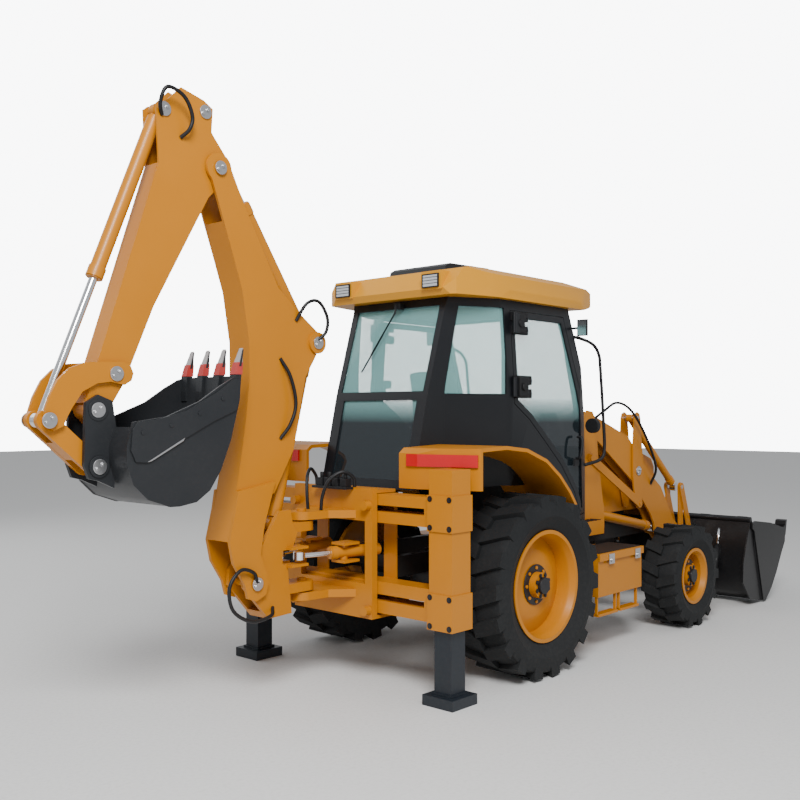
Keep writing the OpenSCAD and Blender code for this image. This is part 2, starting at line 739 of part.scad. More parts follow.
// Backhoe
module carriage() {
    front = frame_back - 8;
    placed() color(yellow) {
        both_sides() block([-1120, 330, 500], [front, 400, 1410]);
        both_sides() for (z = [560, 1230]) block([front - 1, 300, z], [frame_back - 0.6, 390, z + 50]);
        for (z = [[1180, 1410], [500, 740]]) block([-1120, -400, z[0]], [front, 400, z[1]]);
        for (z = [1374, 500]) block([-1120, -400, z], [-880, 400, z + 22]);
        for (z = [1195, 640]) translate([0, 0, z]) linear_extrude(55) {
            polygon([[-1110, -250], [-1110, 250], [king_x + 160, 110], [king_x, 95], [king_x, -95],
                     [king_x + 160, -110]]);
            translate([king_x, 0]) circle(d = 190);
        }
        for (z = [1110, 625]) translate([king_x, 0, z]) cylinder(d = 70, h = 160);
        both_sides() for (z = [swing_z - 70, swing_z + 52]) block([-1250, 130, z], [-1100, 260, z + 18]);
        both_sides() for (z = [560, 1290]) bar_x([-1170, 365, z], 64, 60);
    }
}

module swing_post() {
    plate = [[-1698, 1277], [-1600, 1277], [-1582, 1180], [-1540, 1120], [-1600, 968], [-1627, 880],
             [-1591, 578], [-1793, 568], [-2000, 800], [-1990, 900], [-1886, 1007]];
    placed() color(yellow) {
        difference() {
            both_sides() plate_xz(post_in, post_out) polygon(plate);
            block([-1672, -200, swing_z - 48], [-1500, 200, swing_z + 48]);
        }
        plate_xz(-post_in, post_in) polygon([[-1591, 578], [-1793, 568], [-1840, 620], [-1640, 640],
                                            [-1650, 860], [-1620, 860]]);
        bar_y(boom_cyl_foot, pin_d, -post_in, post_in);
        bar_y(boom_foot, pin_d, -cheek_out - 8, cheek_out + 8);
        difference() {
            union() for (z = [1120, 705]) {
                translate([king_x, 0, z]) cylinder(d = 170, h = 65);
                block([-1640, -85, z], [king_x, 85, z + 65]);
            }
            translate([king_x, 0, 500]) cylinder(d = 70 + 2 * pin_gap, h = 900);
        }
        both_sides() for (z = [swing_z - 68, swing_z + 50])
            block([-1640, 40, z], [swing_eye[0] + 45, 150, z + 18]);
    }
}

// Moves a swing cylinder, drawn along X from its trunnion, into place
module swing_placed() {
    v = swing_eye - swing_foot;
    translate([swing_foot[0], swing_foot[1], swing_z]) rotate([0, 0, atan2(v[1], v[0])]) children();
}

module swing_barrel() {
    swing_placed() difference() {
        union() {
            bar_x([-290, 0, 0], 82, 406);
            bar_x([56, 0, 0], 92, 50);
            translate([0, 0, -51.5]) cylinder(d = 60, h = 103);
        }
        bar_x([-274, 0, 0], 40 + 2 * rod_gap, 500);
    }
}
module swing_rod() {
    len = norm(swing_eye - swing_foot);
    swing_placed() {
        bar_x([-86, 0, 0], 40, len + 86 - 30);
        translate([len, 0, -26]) cylinder(d = 84, h = 52);
    }
}
module swing_barrel_left() { placed() color(yellow) swing_barrel(); }
module swing_barrel_right() { placed() color(yellow) mirror([0, 1, 0]) swing_barrel(); }
module swing_rod_left() { placed() color(steel) swing_rod(); }
module swing_rod_right() { placed() color(steel) mirror([0, 1, 0]) swing_rod(); }

boom_rear = [[-2090, 1310], [-2031, 1625], [-1989, 1888], [-1961, 2133], [-1963, 2398], [-2018, 2723],
             [-2096, 2951], [-2283, 3475]];
boom_cab = [[-2120, 3516], [-1994, 3259], [-1715, 2771], [-1518, 2610], [-1363, 2500], [-1310, 2440], [-1392, 2299],
            [-1472, 2180], [-1490, 2104], [-1581, 1684], [-1749, 1400]];
module boom_outline() { polygon(concat(boom_rear, boom_cab)); }
module cheek_outline() {
    polygon([[-2139, 1110], [-2090, 1310], [-2070, 1430], [-1760, 1480], [-1852, 1200], [-1886, 1007], [-1815, 820],
             [-1840, 740], [-1920, 705], [-1990, 730], [-2019, 829], [-2108, 968]]);
}

module boom() {
    cover = concat(boom_rear, [for (i = [len(boom_rear) - 1:-1:0]) boom_rear[i] + [18, 0]]);
    placed() color(yellow) {
        difference() {
            union() {
                plate_pair(0, boom_half - boom_plate, boom_half) boom_outline();
                plate_pair(0, boom_half - boom_plate, boom_half) translate(dipper_pivot) circle(d = 190);
                plate_pair(0, cheek_in - 3, cheek_out) cheek_outline();
                plate_xz(-boom_half + 1, boom_half - 1) difference() {
                    polygon(cover);
                    translate(dipper_pivot) circle(r = 330);
                }
                plate_xz(-cheek_in - 1, cheek_in + 1)
                    polygon([[-2139, 1110], [-2085, 1330], [-2067, 1330], [-2120, 1110]]);
                plate_pair(0, boom_half - 1, boom_half + 18) translate(lobe_pin) circle(d = 150);
            }
            bar_y(boom_foot, pin_d + 2 * pin_gap, -300, 300);
        }
        bar_y(lobe_pin, pin_d, 36, boom_half);
        bar_y(lobe_pin, pin_d, -boom_half, -36);
        bar_y(dipper_pivot, pin_d, -boom_half - 10, boom_half + 10);
    }
}

module boom_barrel() {
    placed() color(yellow) barrel(boom_cyl_foot, lobe_pin, hoe_cyl_d, 0, 1120, 60, 75);
}
module boom_rod() { placed() color(steel) rod(boom_cyl_foot, lobe_pin, 60, 0, 80); }

dipper_rear = [[-2470, 3931], [-2560, 3840], [-2650, 3780], [-2630, 3441], [-3042, 2207], [-3120, 1960]];
dipper_front = [[-3053, 1870], [-2985, 1920], [-2870, 2100], [-2665, 2571], [-2264, 3288], [-2110, 3440],
                [-2120, 3560], [-2240, 3700], [-2230, 3850], [-2300, 3890]];
module dipper() {
    placed() color(yellow) {
        difference() {
            union() {
                plate_pair(0, dipper_half - dipper_plate, dipper_half) polygon(concat(dipper_rear, dipper_front));
                plate_xz(-dipper_half + 1, dipper_half - 1)
                    polygon([[-2630, 3441], [-3042, 2207], [-3110, 1990], [-3095, 1985], [-3025, 2205], [-2612, 3441]]);
                plate_xz(-dipper_half + 1, dipper_half - 1)
                    polygon([[-2985, 1935], [-2870, 2100], [-2665, 2571], [-2270, 3280], [-2290, 3285], [-2682, 2580],
                             [-2885, 2110], [-2997, 1945]]);
                for (p = [hoe_pivot, lever_a, dipper_pivot]) bar_y(p, pin_d + 50, -dipper_half, dipper_half);
            }
            for (p = [hoe_pivot, lever_a, dipper_pivot])
                bar_y(p, pin_d + 2 * pin_gap, -200, 200);
        }
        plate_pair(0, 34, dipper_half) translate(dipper_ear) circle(d = 100);
        bar_y(bucket_cyl_foot, pin_d, -dipper_half, dipper_half);
    }
}

module dipper_barrel() {
    neck = lobe_pin + 130 * (dipper_ear - lobe_pin) / norm(dipper_ear - lobe_pin);
    placed() color(yellow) difference() {
        union() {
            bar_along(lobe_pin, dipper_ear, hoe_cyl_d, 0, 120, 1058);
            bar_along(lobe_pin, dipper_ear, hoe_cyl_d + 12, 0, 980, 1050);
            plate_pair(0, 36, 56) strap(lobe_pin, neck, 96);
            plate_xz(-56, 56) translate(neck) circle(d = 90);
        }
        bar_y(lobe_pin, pin_d + 2 * pin_gap, -200, 200);
        bar_along(lobe_pin, dipper_ear, 60 + 2 * rod_gap, 0, 96, 1100);
    }
}
module dipper_rod() { placed() color(steel) rod(lobe_pin, dipper_ear, 60, 0, 660); }

module bucket_barrel() {
    placed() color(yellow) barrel(bucket_cyl_foot, lever_b, bucket_cyl_d, 0, 1145, 50, 75);
}
module bucket_rod() { placed() color(steel) rod(bucket_cyl_foot, lever_b, 50, 0, 905); }

// Outline of the curved levers between the dipper and the link, [x, z]
lever_outline = [
    [-2820, 2164], [-2842, 2212], [-2891, 2229], [-3033, 2223], [-3136, 2214],
    [-3228, 2179], [-3297, 2112], [-3346, 2020], [-3375, 1929], [-3369, 1866],
    [-3316, 1834], [-3261, 1859], [-3238, 1911], [-3208, 1963], [-3147, 2051],
    [-3054, 2100], [-2969, 2111], [-2878, 2094], [-2833, 2121]];
module tipping_levers() {
    placed() color(yellow) difference() {
        union() {
            plate_pair(0, ear_in, ear_in + 22)
                polygon(lever_outline);
            bar_y(lever_a, pin_d, -ear_in - 22, ear_in + 22);
        }
        bar_y(lever_b, link_pin + 2 * pin_gap, -300, 300);
    }
}

module tipping_link() {
    axis = atan2(hoe_ear[1] - lever_b[1], hoe_ear[0] - lever_b[0]);
    placed() color(yellow) {
        plate_pair(0, 40, ear_in - 6) strap(lever_b, hoe_ear, 110);
        plate_xz(-41, 41) translate(lever_b) rotate(axis) translate([130, -54]) square([150, 20]);
        plate_pair(0, ear_in - 7, ear_in + 34) translate(lever_b) circle(d = link_pin);
    }
}
link_pin = 56;

// Section of the digging bucket, [x, z]: its mouth from the back to the lip, then its back
hoe_mouth = [
    [-2950, 1852], [-2945, 1877], [-2725, 1907], [-2491, 1999], [-2343, 2092],
    [-2242, 2146], [-2185, 2162]];
hoe_back = [
    [-2198, 2002], [-2263, 1767], [-2338, 1586], [-2418, 1469], [-2515, 1405],
    [-2633, 1387], [-2700, 1388], [-2850, 1440], [-2940, 1525], [-2982, 1640],
    [-2984, 1740]];
hoe_outline = concat(hoe_mouth, hoe_back);
// Section of a bent sheet: a path and the same path moved to its right by t
function right_of(v) = [v[1], -v[0]] / norm(v);
function moved(path, i, t) =
    let (a = right_of(path[max(i, 1)] - path[max(i, 1) - 1]),
         b = right_of(path[min(i, len(path) - 2) + 1] - path[min(i, len(path) - 2)]))
    path[i] + (a + b) * t / (1 + a * b);
function sheet(path, t) = concat(path, [for (i = [len(path) - 1:-1:0]) moved(path, i, t)]);
module hoe_bucket() {
    half = hoe_bucket_w / 2;
    last = len(hoe_mouth) - 1;
    tooth_step = (hoe_bucket_w - 80) / 3;
    placed() color(charcoal) {
        plate_xz(2 - half, half - 2) polygon(sheet(concat([hoe_mouth[last]], hoe_back, [hoe_mouth[0]]), hoe_wall));
        both_sides() plate_xz(half - hoe_wall, half) offset(delta = 3) polygon(hoe_outline);
        plate_pair(0, ear_in, ear_out)
            polygon([[-2960, 2000], [-3053, 2036], [-3130, 1990], [-3140, 1640], [-3110, 1560], [-3050, 1545],
                     [-2950, 1500], [-2930, 1800]]);
        bar_y(hoe_pivot, pin_d, -ear_out, ear_out);
        plate_pair(0, ear_out - 1, ear_out + 10) translate(hoe_ear) circle(d = pin_d);
        for (k = [0:3])
            plate_xz(40 - half + k * tooth_step - 26, 40 - half + k * tooth_step + 26)
                polygon([hoe_mouth[last] + [-34, -110], hoe_mouth[last] + [-20, 10], [-2150, 2330],
                         hoe_mouth[last] + [8, 0], hoe_mouth[last] + [-6, -110]]);
    }
}

// Stabilisers
module stabiliser() {
    x = column_x - column_w / 2;
    y = column_y - column_w / 2;
    block([x - leg_w / 2, y - leg_w / 2, 60], [x + leg_w / 2, y + leg_w / 2, 1180]);
    block([x - pad_w / 2, y - pad_w / 2, 0], [x + pad_w / 2, y + pad_w / 2, 70]);
    block([x - leg_w / 2 - 14, y - leg_w / 2 - 14, 69], [x + leg_w / 2 + 14, y + leg_w / 2 + 14, 86]);
}
module stabiliser_left() { placed() color(charcoal) stabiliser(); }
module stabiliser_right() { placed() color(charcoal) mirror([0, 1, 0]) stabiliser(); }

chassis_frame();
rear_frame();
axles();
engine_block();
cab_frame();
cab_roof();
cab_glass();
rear_fenders();
cab_interior();
seat();
side_boxes();
toolbox_lid();
lamps();
hood();
door_left();
door_right();
knuckle_left();
knuckle_right();
tyre_front_left();
tyre_front_right();
tyre_rear_left();
tyre_rear_right();
rim_front_left();
rim_front_right();
rim_rear_left();
rim_rear_right();
loader_arms();
lift_barrels();
lift_rods();
tilt_levers();
level_bars();
lever_pins();
link_pins();
tilt_barrels();
tilt_rods();
guide_pins();
guide_levers();
bucket_links();
bucket_pins();
loader_bucket();
bucket_jaw();
carriage();
swing_post();
swing_barrel_left();
swing_barrel_right();
swing_rod_left();
swing_rod_right();
boom();
boom_barrel();
boom_rod();
dipper();
dipper_barrel();
dipper_rod();
bucket_barrel();
bucket_rod();
tipping_levers();
tipping_link();
hoe_bucket();
stabiliser_left();
stabiliser_right();
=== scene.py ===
"""Backhoe loader: paint, glass, rubber, seat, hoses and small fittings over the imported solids."""

import math

import bmesh
import bpy
from mathutils import Matrix, Vector


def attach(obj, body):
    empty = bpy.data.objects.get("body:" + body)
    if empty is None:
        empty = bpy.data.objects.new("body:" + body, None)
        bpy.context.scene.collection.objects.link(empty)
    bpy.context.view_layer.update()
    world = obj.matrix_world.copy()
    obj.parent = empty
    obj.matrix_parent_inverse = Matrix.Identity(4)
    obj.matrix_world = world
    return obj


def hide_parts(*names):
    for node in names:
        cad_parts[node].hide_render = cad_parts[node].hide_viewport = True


bl_info = {
    "name": "Backhoe Loader Looks",
    "version": (1, 0, 0),
    "blender": (4, 5, 0),
    "location": "View3D > Sidebar > Loader",
    "description": "Dresses the solids of a backhoe loader with finishes and small fittings",
    "category": "Object",
}

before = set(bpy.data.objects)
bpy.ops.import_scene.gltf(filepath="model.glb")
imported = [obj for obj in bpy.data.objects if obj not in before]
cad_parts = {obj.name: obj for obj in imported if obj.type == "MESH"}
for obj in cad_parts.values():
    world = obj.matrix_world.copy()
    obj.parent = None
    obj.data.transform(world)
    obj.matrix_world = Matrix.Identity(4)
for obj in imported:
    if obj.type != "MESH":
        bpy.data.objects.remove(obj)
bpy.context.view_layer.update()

# Middle of the machine ahead of the rear axle, in millimetres
MIDDLE_X = 567.1
# The photograph's camera: place in axle millimetres, level view direction, lens and sensor width in millimetres
CAMERA_PLACE = (-5992, -5080, 1920)
CAMERA_AHEAD, CAMERA_SIDE = 0.741, 0.672
CAMERA_LENS, CAMERA_SENSOR, CAMERA_SHIFT = 43.83, 36.0, 0.01875
# Points of a solid closer than this, in metres, are one point
MERGE_DISTANCE = 0.00002
# Height in metres that parts the dark rails from the yellow towers
RAIL_TOP = 0.905
# Heights in metres between which the window glass goes from clear to dark; the dark lower panes are painted shade
GLASS_CLEAR, GLASS_PAINTED_SHADE = 2.06, 1.86
# A door's pane lies between these heights in metres, and is taller than the last value
PANE_LOW, PANE_HIGH, PANE_SPAN = 1.12, 2.69, 1.0
# Lamps above this height in metres are clear, the others red
CLEAR_LAMP_HEIGHT = 2.3
# Frames of the cloth run, and its cloth's stiffness and air pressure
CLOTH_FRAMES, CLOTH_STIFFNESS, CLOTH_PRESSURE = 12, 30, 3.0


def at(x, y, z):
    """A point given in millimetres from the rear axle, in the frame's metres."""
    return Vector(((x - MIDDLE_X) / 1000.0, y / 1000.0, z / 1000.0))


# Shader groups

def new_group(name, inputs, outputs):
    """An empty shader node group with named sockets."""
    group = bpy.data.node_groups.new(name, "ShaderNodeTree")
    for label, kind, value in inputs:
        socket = group.interface.new_socket(label, in_out="INPUT", socket_type=kind)
        if value is not None:
            socket.default_value = value
    for label, kind in outputs:
        group.interface.new_socket(label, in_out="OUTPUT", socket_type=kind)
    return group, group.nodes.new("NodeGroupInput"), group.nodes.new("NodeGroupOutput")


def noise(group, coords, scale, detail=4.0, rough=0.55):
    """A noise texture node on object coordinates."""
    node = group.nodes.new("ShaderNodeTexNoise")
    node.inputs["Scale"].default_value = scale
    node.inputs["Detail"].default_value = detail
    node.inputs["Roughness"].default_value = rough
    group.links.new(coords.outputs["Object"], node.inputs["Vector"])
    return node


def math_node(group, kind, a, b=None, clamp=False):
    """A math node whose inputs are sockets or numbers."""
    node = group.nodes.new("ShaderNodeMath")
    node.operation = kind
    node.use_clamp = clamp
    for index, value in enumerate((a, b)):
        if value is None:
            continue
        if isinstance(value, (int, float)):
            node.inputs[index].default_value = value
        else:
            group.links.new(value, node.inputs[index])
    return node.outputs[0]


def mix_colour(group, factor, a, b):
    """A colour mix node whose inputs are sockets or colours."""
    node = group.nodes.new("ShaderNodeMix")
    node.data_type = "RGBA"
    for index, value in ((0, factor), (6, a), (7, b)):
        if isinstance(value, (int, float, tuple)):
            node.inputs[index].default_value = value
        else:
            group.links.new(value, node.inputs[index])
    return node.outputs[2]


def ramp(group, factor, low, high):
    """Maps low..high of a socket to 0..1."""
    node = group.nodes.new("ShaderNodeMapRange")
    node.inputs["From Min"].default_value = low
    node.inputs["From Max"].default_value = high
    group.links.new(factor, node.inputs["Value"])
    return node.outputs["Result"]


def make_worn_paint():
    """Paint with faint mottling, dust that gathers low down, and fine orange peel."""
    group, source, target = new_group(
        "worn_paint",
        [("Colour", "NodeSocketColor", (0.6, 0.3, 0.05, 1)),
         ("Dust colour", "NodeSocketColor", (0.42, 0.37, 0.3, 1)),
         ("Dust", "NodeSocketFloat", 0.25), ("Roughness", "NodeSocketFloat", 0.35),
         ("Peel", "NodeSocketFloat", 0.02)],
        [("Colour", "NodeSocketColor"), ("Roughness", "NodeSocketFloat"), ("Height", "NodeSocketFloat")])
    coords = group.nodes.new("ShaderNodeTexCoord")
    cloud = noise(group, coords, 2.2, 6.0, 0.6)
    fine = noise(group, coords, 38.0, 5.0, 0.6)
    split = group.nodes.new("ShaderNodeSeparateXYZ")
    group.links.new(coords.outputs["Object"], split.inputs[0])
    low = ramp(group, split.outputs["Z"], 1.3, 0.0)
    patch = ramp(group, cloud.outputs["Fac"], 0.35, 0.8)
    speck = ramp(group, fine.outputs["Fac"], 0.45, 0.75)
    amount = math_node(group, "ADD", math_node(group, "MULTIPLY", low, 0.55),
                       math_node(group, "MULTIPLY", patch, 0.4))
    amount = math_node(group, "MULTIPLY", amount, source.outputs["Dust"], True)
    amount = math_node(group, "MULTIPLY", amount, math_node(group, "ADD", 0.6, speck), True)
    shade = group.nodes.new("ShaderNodeHueSaturation")
    group.links.new(source.outputs["Colour"], shade.inputs["Color"])
    group.links.new(math_node(group, "ADD", 0.93, math_node(group, "MULTIPLY", cloud.outputs["Fac"], 0.14)),
                    shade.inputs["Value"])
    colour = mix_colour(group, amount, shade.outputs["Color"], source.outputs["Dust colour"])
    rough = math_node(group, "ADD", source.outputs["Roughness"], math_node(group, "MULTIPLY", amount, 0.6))
    rough = math_node(group, "ADD", rough, math_node(group, "MULTIPLY", cloud.outputs["Fac"], 0.06), True)
    height = math_node(group, "MULTIPLY", fine.outputs["Fac"], source.outputs["Peel"])
    group.links.new(colour, target.inputs["Colour"])
    group.links.new(rough, target.inputs["Roughness"])
    group.links.new(height, target.inputs["Height"])
    return group


GROUPS = {}


def paint_group():
    """The shared paint group, built once."""
    if "worn_paint" not in GROUPS:
        GROUPS["worn_paint"] = make_worn_paint()
    return GROUPS["worn_paint"]


# name: (colour, roughness, metallic, dust, peel, coat, dust colour)
FINISHES = {
    "machine_yellow": ((0.47, 0.165, 0.0), 0.36, 0.0, 0.07, 0.02, 0.10, (0.34, 0.22, 0.09)),
    "roof_yellow": ((0.60, 0.26, 0.008), 0.36, 0.0, 0.08, 0.01, 0.10, (0.50, 0.40, 0.26)),
    "cab_black": ((0.006, 0.007, 0.009), 0.36, 0.0, 0.05, 0.02, 0.1, (0.09, 0.085, 0.08)),
    "dark_paint": ((0.010, 0.010, 0.012), 0.42, 0.0, 0.10, 0.02, 0.1, (0.11, 0.10, 0.09)),
    "bucket_black": ((0.006, 0.006, 0.007), 0.34, 0.2, 0.08, 0.04, 0.1, (0.08, 0.075, 0.07)),
    "bucket_grey": ((0.018, 0.020, 0.023), 0.40, 0.2, 0.16, 0.05, 0.1, (0.13, 0.12, 0.11)),
    "leg_blue_grey": ((0.006, 0.010, 0.016), 0.36, 0.0, 0.08, 0.02, 0.15, (0.12, 0.12, 0.12)),
    "tread_rubber": ((0.006, 0.007, 0.008), 0.72, 0.0, 0.16, 0.20, 0.0, (0.10, 0.098, 0.094)),
    "trim_plastic": ((0.007, 0.007, 0.008), 0.52, 0.0, 0.06, 0.08, 0.0, (0.10, 0.095, 0.09)),
    "engine_iron": ((0.040, 0.041, 0.043), 0.55, 0.4, 0.35, 0.10, 0.0, (0.14, 0.12, 0.10)),
    "rod_chrome": ((0.80, 0.81, 0.83), 0.12, 1.0, 0.02, 0.0, 0.0, (0.4, 0.38, 0.35)),
    "pin_steel": ((0.58, 0.58, 0.59), 0.28, 1.0, 0.10, 0.02, 0.0, (0.3, 0.28, 0.25)),
    "hose_black": ((0.007, 0.007, 0.008), 0.42, 0.0, 0.10, 0.02, 0.0, (0.10, 0.09, 0.08)),
    "tooth_red": ((0.40, 0.030, 0.026), 0.45, 0.0, 0.35, 0.05, 0.0, (0.45, 0.30, 0.26)),
    "tooth_grey": ((0.40, 0.38, 0.38), 0.45, 0.4, 0.30, 0.05, 0.0, (0.4, 0.34, 0.31)),
    "lamp_red": ((0.50, 0.008, 0.012), 0.12, 0.0, 0.05, 0.0, 0.5, (0.3, 0.2, 0.2)),
    "lamp_clear": ((0.62, 0.64, 0.66), 0.10, 0.5, 0.03, 0.0, 0.5, (0.6, 0.6, 0.58)),
    "concrete": ((0.72, 0.72, 0.71), 0.85, 0.0, 0.30, 0.0, 0.0, (0.40, 0.39, 0.375)),
}
MATERIALS = {}


def principled(name):
    """A new material and its shader node."""
    material = bpy.data.materials.new(name)
    material.use_nodes = True
    return material, material.node_tree, material.node_tree.nodes["Principled BSDF"]


def finish_of(name):
    """The painted, rubber, plastic or metal finish of that name."""
    if name in MATERIALS:
        return MATERIALS[name]
    colour, rough, metal, dust, peel, coat, dust_colour = FINISHES[name]
    material, tree, shader = principled(name)
    node = tree.nodes.new("ShaderNodeGroup")
    node.node_tree = paint_group()
    node.inputs["Colour"].default_value = (*colour, 1)
    node.inputs["Dust colour"].default_value = (*dust_colour, 1)
    node.inputs["Dust"].default_value = dust
    node.inputs["Roughness"].default_value = rough
    node.inputs["Peel"].default_value = peel
    shader.inputs["Metallic"].default_value = metal
    shader.inputs["Coat Weight"].default_value = coat
    shader.inputs["Coat Roughness"].default_value = 0.12
    shader.inputs["Specular IOR Level"].default_value = 0.32
    tree.links.new(node.outputs["Colour"], shader.inputs["Base Color"])
    tree.links.new(node.outputs["Roughness"], shader.inputs["Roughness"])
    if peel:
        bump = tree.nodes.new("ShaderNodeBump")
        bump.inputs["Strength"].default_value = 0.35
        bump.inputs["Distance"].default_value = 0.02
        tree.links.new(node.outputs["Height"], bump.inputs["Height"])
        tree.links.new(bump.outputs["Normal"], shader.inputs["Normal"])
    MATERIALS[name] = material
    return material


def frame_finish():
    """The chassis paint: yellow towers over dark rails."""
    if "frame_paint" not in MATERIALS:
        material = finish_of("machine_yellow").copy()
        material.name = "frame_paint"
        tree = material.node_tree
        group = next(node for node in tree.nodes if node.type == "GROUP")
        coords, split = tree.nodes.new("ShaderNodeTexCoord"), tree.nodes.new("ShaderNodeSeparateXYZ")
        tree.links.new(coords.outputs["Object"], split.inputs[0])
        low = ramp(tree, split.outputs["Z"], RAIL_TOP + 0.0002, RAIL_TOP - 0.0002)
        colour = mix_colour(tree, low, (*FINISHES["machine_yellow"][0], 1), (*FINISHES["dark_paint"][0], 1))
        tree.links.new(colour, group.inputs["Colour"])
        MATERIALS["frame_paint"] = material
    return MATERIALS["frame_paint"]


def glass_with_painted_shade():
    """Thin window glass, tinted, with painted shade that makes the lower panes darker and more opaque."""
    if "window_glass" not in MATERIALS:
        material, tree, shader = principled("window_glass")
        coords, split = tree.nodes.new("ShaderNodeTexCoord"), tree.nodes.new("ShaderNodeSeparateXYZ")
        tree.links.new(coords.outputs["Object"], split.inputs[0])
        # Painted shade: below these heights the glass turns darker and more opaque
        low = ramp(tree, split.outputs["Z"], GLASS_CLEAR, GLASS_PAINTED_SHADE)
        tint_and_painted_shade = mix_colour(tree, low, (0.22, 0.46, 0.45, 1), (0.012, 0.018, 0.022, 1))
        tree.links.new(tint_and_painted_shade, shader.inputs["Base Color"])
        cover_and_painted_shade = math_node(tree, "ADD", 0.46, math_node(tree, "MULTIPLY", low, 0.38))
        tree.links.new(cover_and_painted_shade, shader.inputs["Alpha"])
        shader.inputs["Roughness"].default_value = 0.03
        shader.inputs["IOR"].default_value = 1.45
        shader.inputs["Specular IOR Level"].default_value = 0.8
        MATERIALS["window_glass"] = material
    return MATERIALS["window_glass"]


def cloth_finish():
    """Woven dark seat cloth with a fine over-and-under weave."""
    if "seat_cloth" not in MATERIALS:
        material, tree, shader = principled("seat_cloth")
        coords = tree.nodes.new("ShaderNodeTexCoord")
        heights = []
        for direction in ("X", "Z"):
            wave = tree.nodes.new("ShaderNodeTexWave")
            wave.bands_direction = direction
            wave.inputs["Scale"].default_value = 160.0
            tree.links.new(coords.outputs["Object"], wave.inputs["Vector"])
            heights.append(wave.outputs["Fac"])
        weave = math_node(tree, "MULTIPLY", heights[0], heights[1])
        colour = mix_colour(tree, weave, (0.012, 0.012, 0.014, 1), (0.045, 0.046, 0.050, 1))
        bump = tree.nodes.new("ShaderNodeBump")
        bump.inputs["Strength"].default_value = 0.4
        bump.inputs["Distance"].default_value = 0.002
        tree.links.new(weave, bump.inputs["Height"])
        tree.links.new(bump.outputs["Normal"], shader.inputs["Normal"])
        tree.links.new(colour, shader.inputs["Base Color"])
        shader.inputs["Roughness"].default_value = 0.9
        shader.inputs["Sheen Weight"].default_value = 0.3
        MATERIALS["seat_cloth"] = material
    return MATERIALS["seat_cloth"]


# Mesh builders

def box_into(mesh, low, high, material=0):
    """Adds a box between two corners in axle millimetres."""
    a, b = at(*low), at(*high)
    corners = [mesh.verts.new((x, y, z)) for x in (a.x, b.x) for y in (a.y, b.y) for z in (a.z, b.z)]
    for face in ((0, 1, 3, 2), (4, 6, 7, 5), (0, 4, 5, 1), (2, 3, 7, 6), (0, 2, 6, 4), (1, 5, 7, 3)):
        mesh.faces.new([corners[i] for i in face]).material_index = material


def prism_into(mesh, outline, y0, y1, material=0):
    """Adds a plate of that X, Z outline between two Y values."""
    front = [mesh.verts.new(at(x, y0, z)) for x, z in outline]
    back = [mesh.verts.new(at(x, y1, z)) for x, z in outline]
    count = len(outline)
    mesh.faces.new(front).material_index = material
    mesh.faces.new(back[::-1]).material_index = material
    for i in range(count):
        j = (i + 1) % count
        mesh.faces.new((front[j], front[i], back[i], back[j])).material_index = material


def smooth_path(points, steps=6):
    """Points on a curve that passes through the given ones."""
    path = [Vector(p) for p in points]
    ends = [path[0] * 2 - path[1]] + path + [path[-1] * 2 - path[-2]]
    out = []
    for i in range(1, len(ends) - 2):
        p0, p1, p2, p3 = ends[i - 1:i + 3]
        for k in range(steps):
            t = k / steps
            out.append(0.5 * (2 * p1 + (p2 - p0) * t + (2 * p0 - 5 * p1 + 4 * p2 - p3) * t * t
                              + (3 * p1 - p0 - 3 * p2 + p3) * t ** 3))
    out.append(path[-1])
    return out


def tube_into(mesh, path, radius, sides=12, material=0):
    """Adds a closed round tube along a path in metres."""
    rings = []
    normal = None
    for i, point in enumerate(path):
        along = (path[min(i + 1, len(path) - 1)] - path[max(i - 1, 0)]).normalized()
        if normal is None:
            normal = along.orthogonal().normalized()
        normal = (normal - along * normal.dot(along)).normalized()
        side = along.cross(normal)
        rings.append([mesh.verts.new(point + radius * (math.cos(a) * normal + math.sin(a) * side))
                      for a in (2 * math.pi * k / sides for k in range(sides))])
    for low, high in zip(rings, rings[1:]):
        for k in range(sides):
            face = mesh.faces.new((low[k], low[(k + 1) % sides], high[(k + 1) % sides], high[k]))
            face.material_index = material
            face.smooth = True
    mesh.faces.new(rings[0][::-1]).material_index = material
    mesh.faces.new(rings[-1]).material_index = material


def loft_into(mesh, sections):
    """Adds a body through flat rectangles: (x, y, z, half thickness, half width, material)."""
    rings = []
    for x, y, z, thick, wide, _ in sections:
        rings.append([mesh.verts.new(at(x + a * thick, y + b * wide, z))
                      for a, b in ((-1, -1), (1, -1), (1, 1), (-1, 1))])
    for low, high, section in zip(rings, rings[1:], sections):
        for k in range(4):
            mesh.faces.new((low[k], low[(k + 1) % 4], high[(k + 1) % 4], high[k])).material_index = section[5]
    mesh.faces.new(rings[0][::-1]).material_index = sections[0][5]
    mesh.faces.new(rings[-1]).material_index = sections[-1][5]


def disc_into(mesh, centre, axis, radius, thick, sides=24, material=0):
    """Adds a short round bar from a centre in axle millimetres along an axis."""
    start = at(*centre)
    tube_into(mesh, [start, start + Vector(axis) * thick / 1000.0], radius / 1000.0, sides, material)


def finished(name, mesh, body, materials, bevel=0.0):
    """Turns a mesh into a piece that rides on a body."""
    bmesh.ops.recalc_face_normals(mesh, faces=mesh.faces)
    data = bpy.data.meshes.new(name)
    mesh.to_mesh(data)
    mesh.free()
    piece = bpy.data.objects.new(name, data)
    bpy.context.scene.collection.objects.link(piece)
    for material in materials:
        data.materials.append(material)
    if bevel:
        edge = piece.modifiers.new("Rounded edges", "BEVEL")
        edge.width = bevel
        edge.segments = 2
        edge.limit_method = "ANGLE"
    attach(piece, body)
    return piece


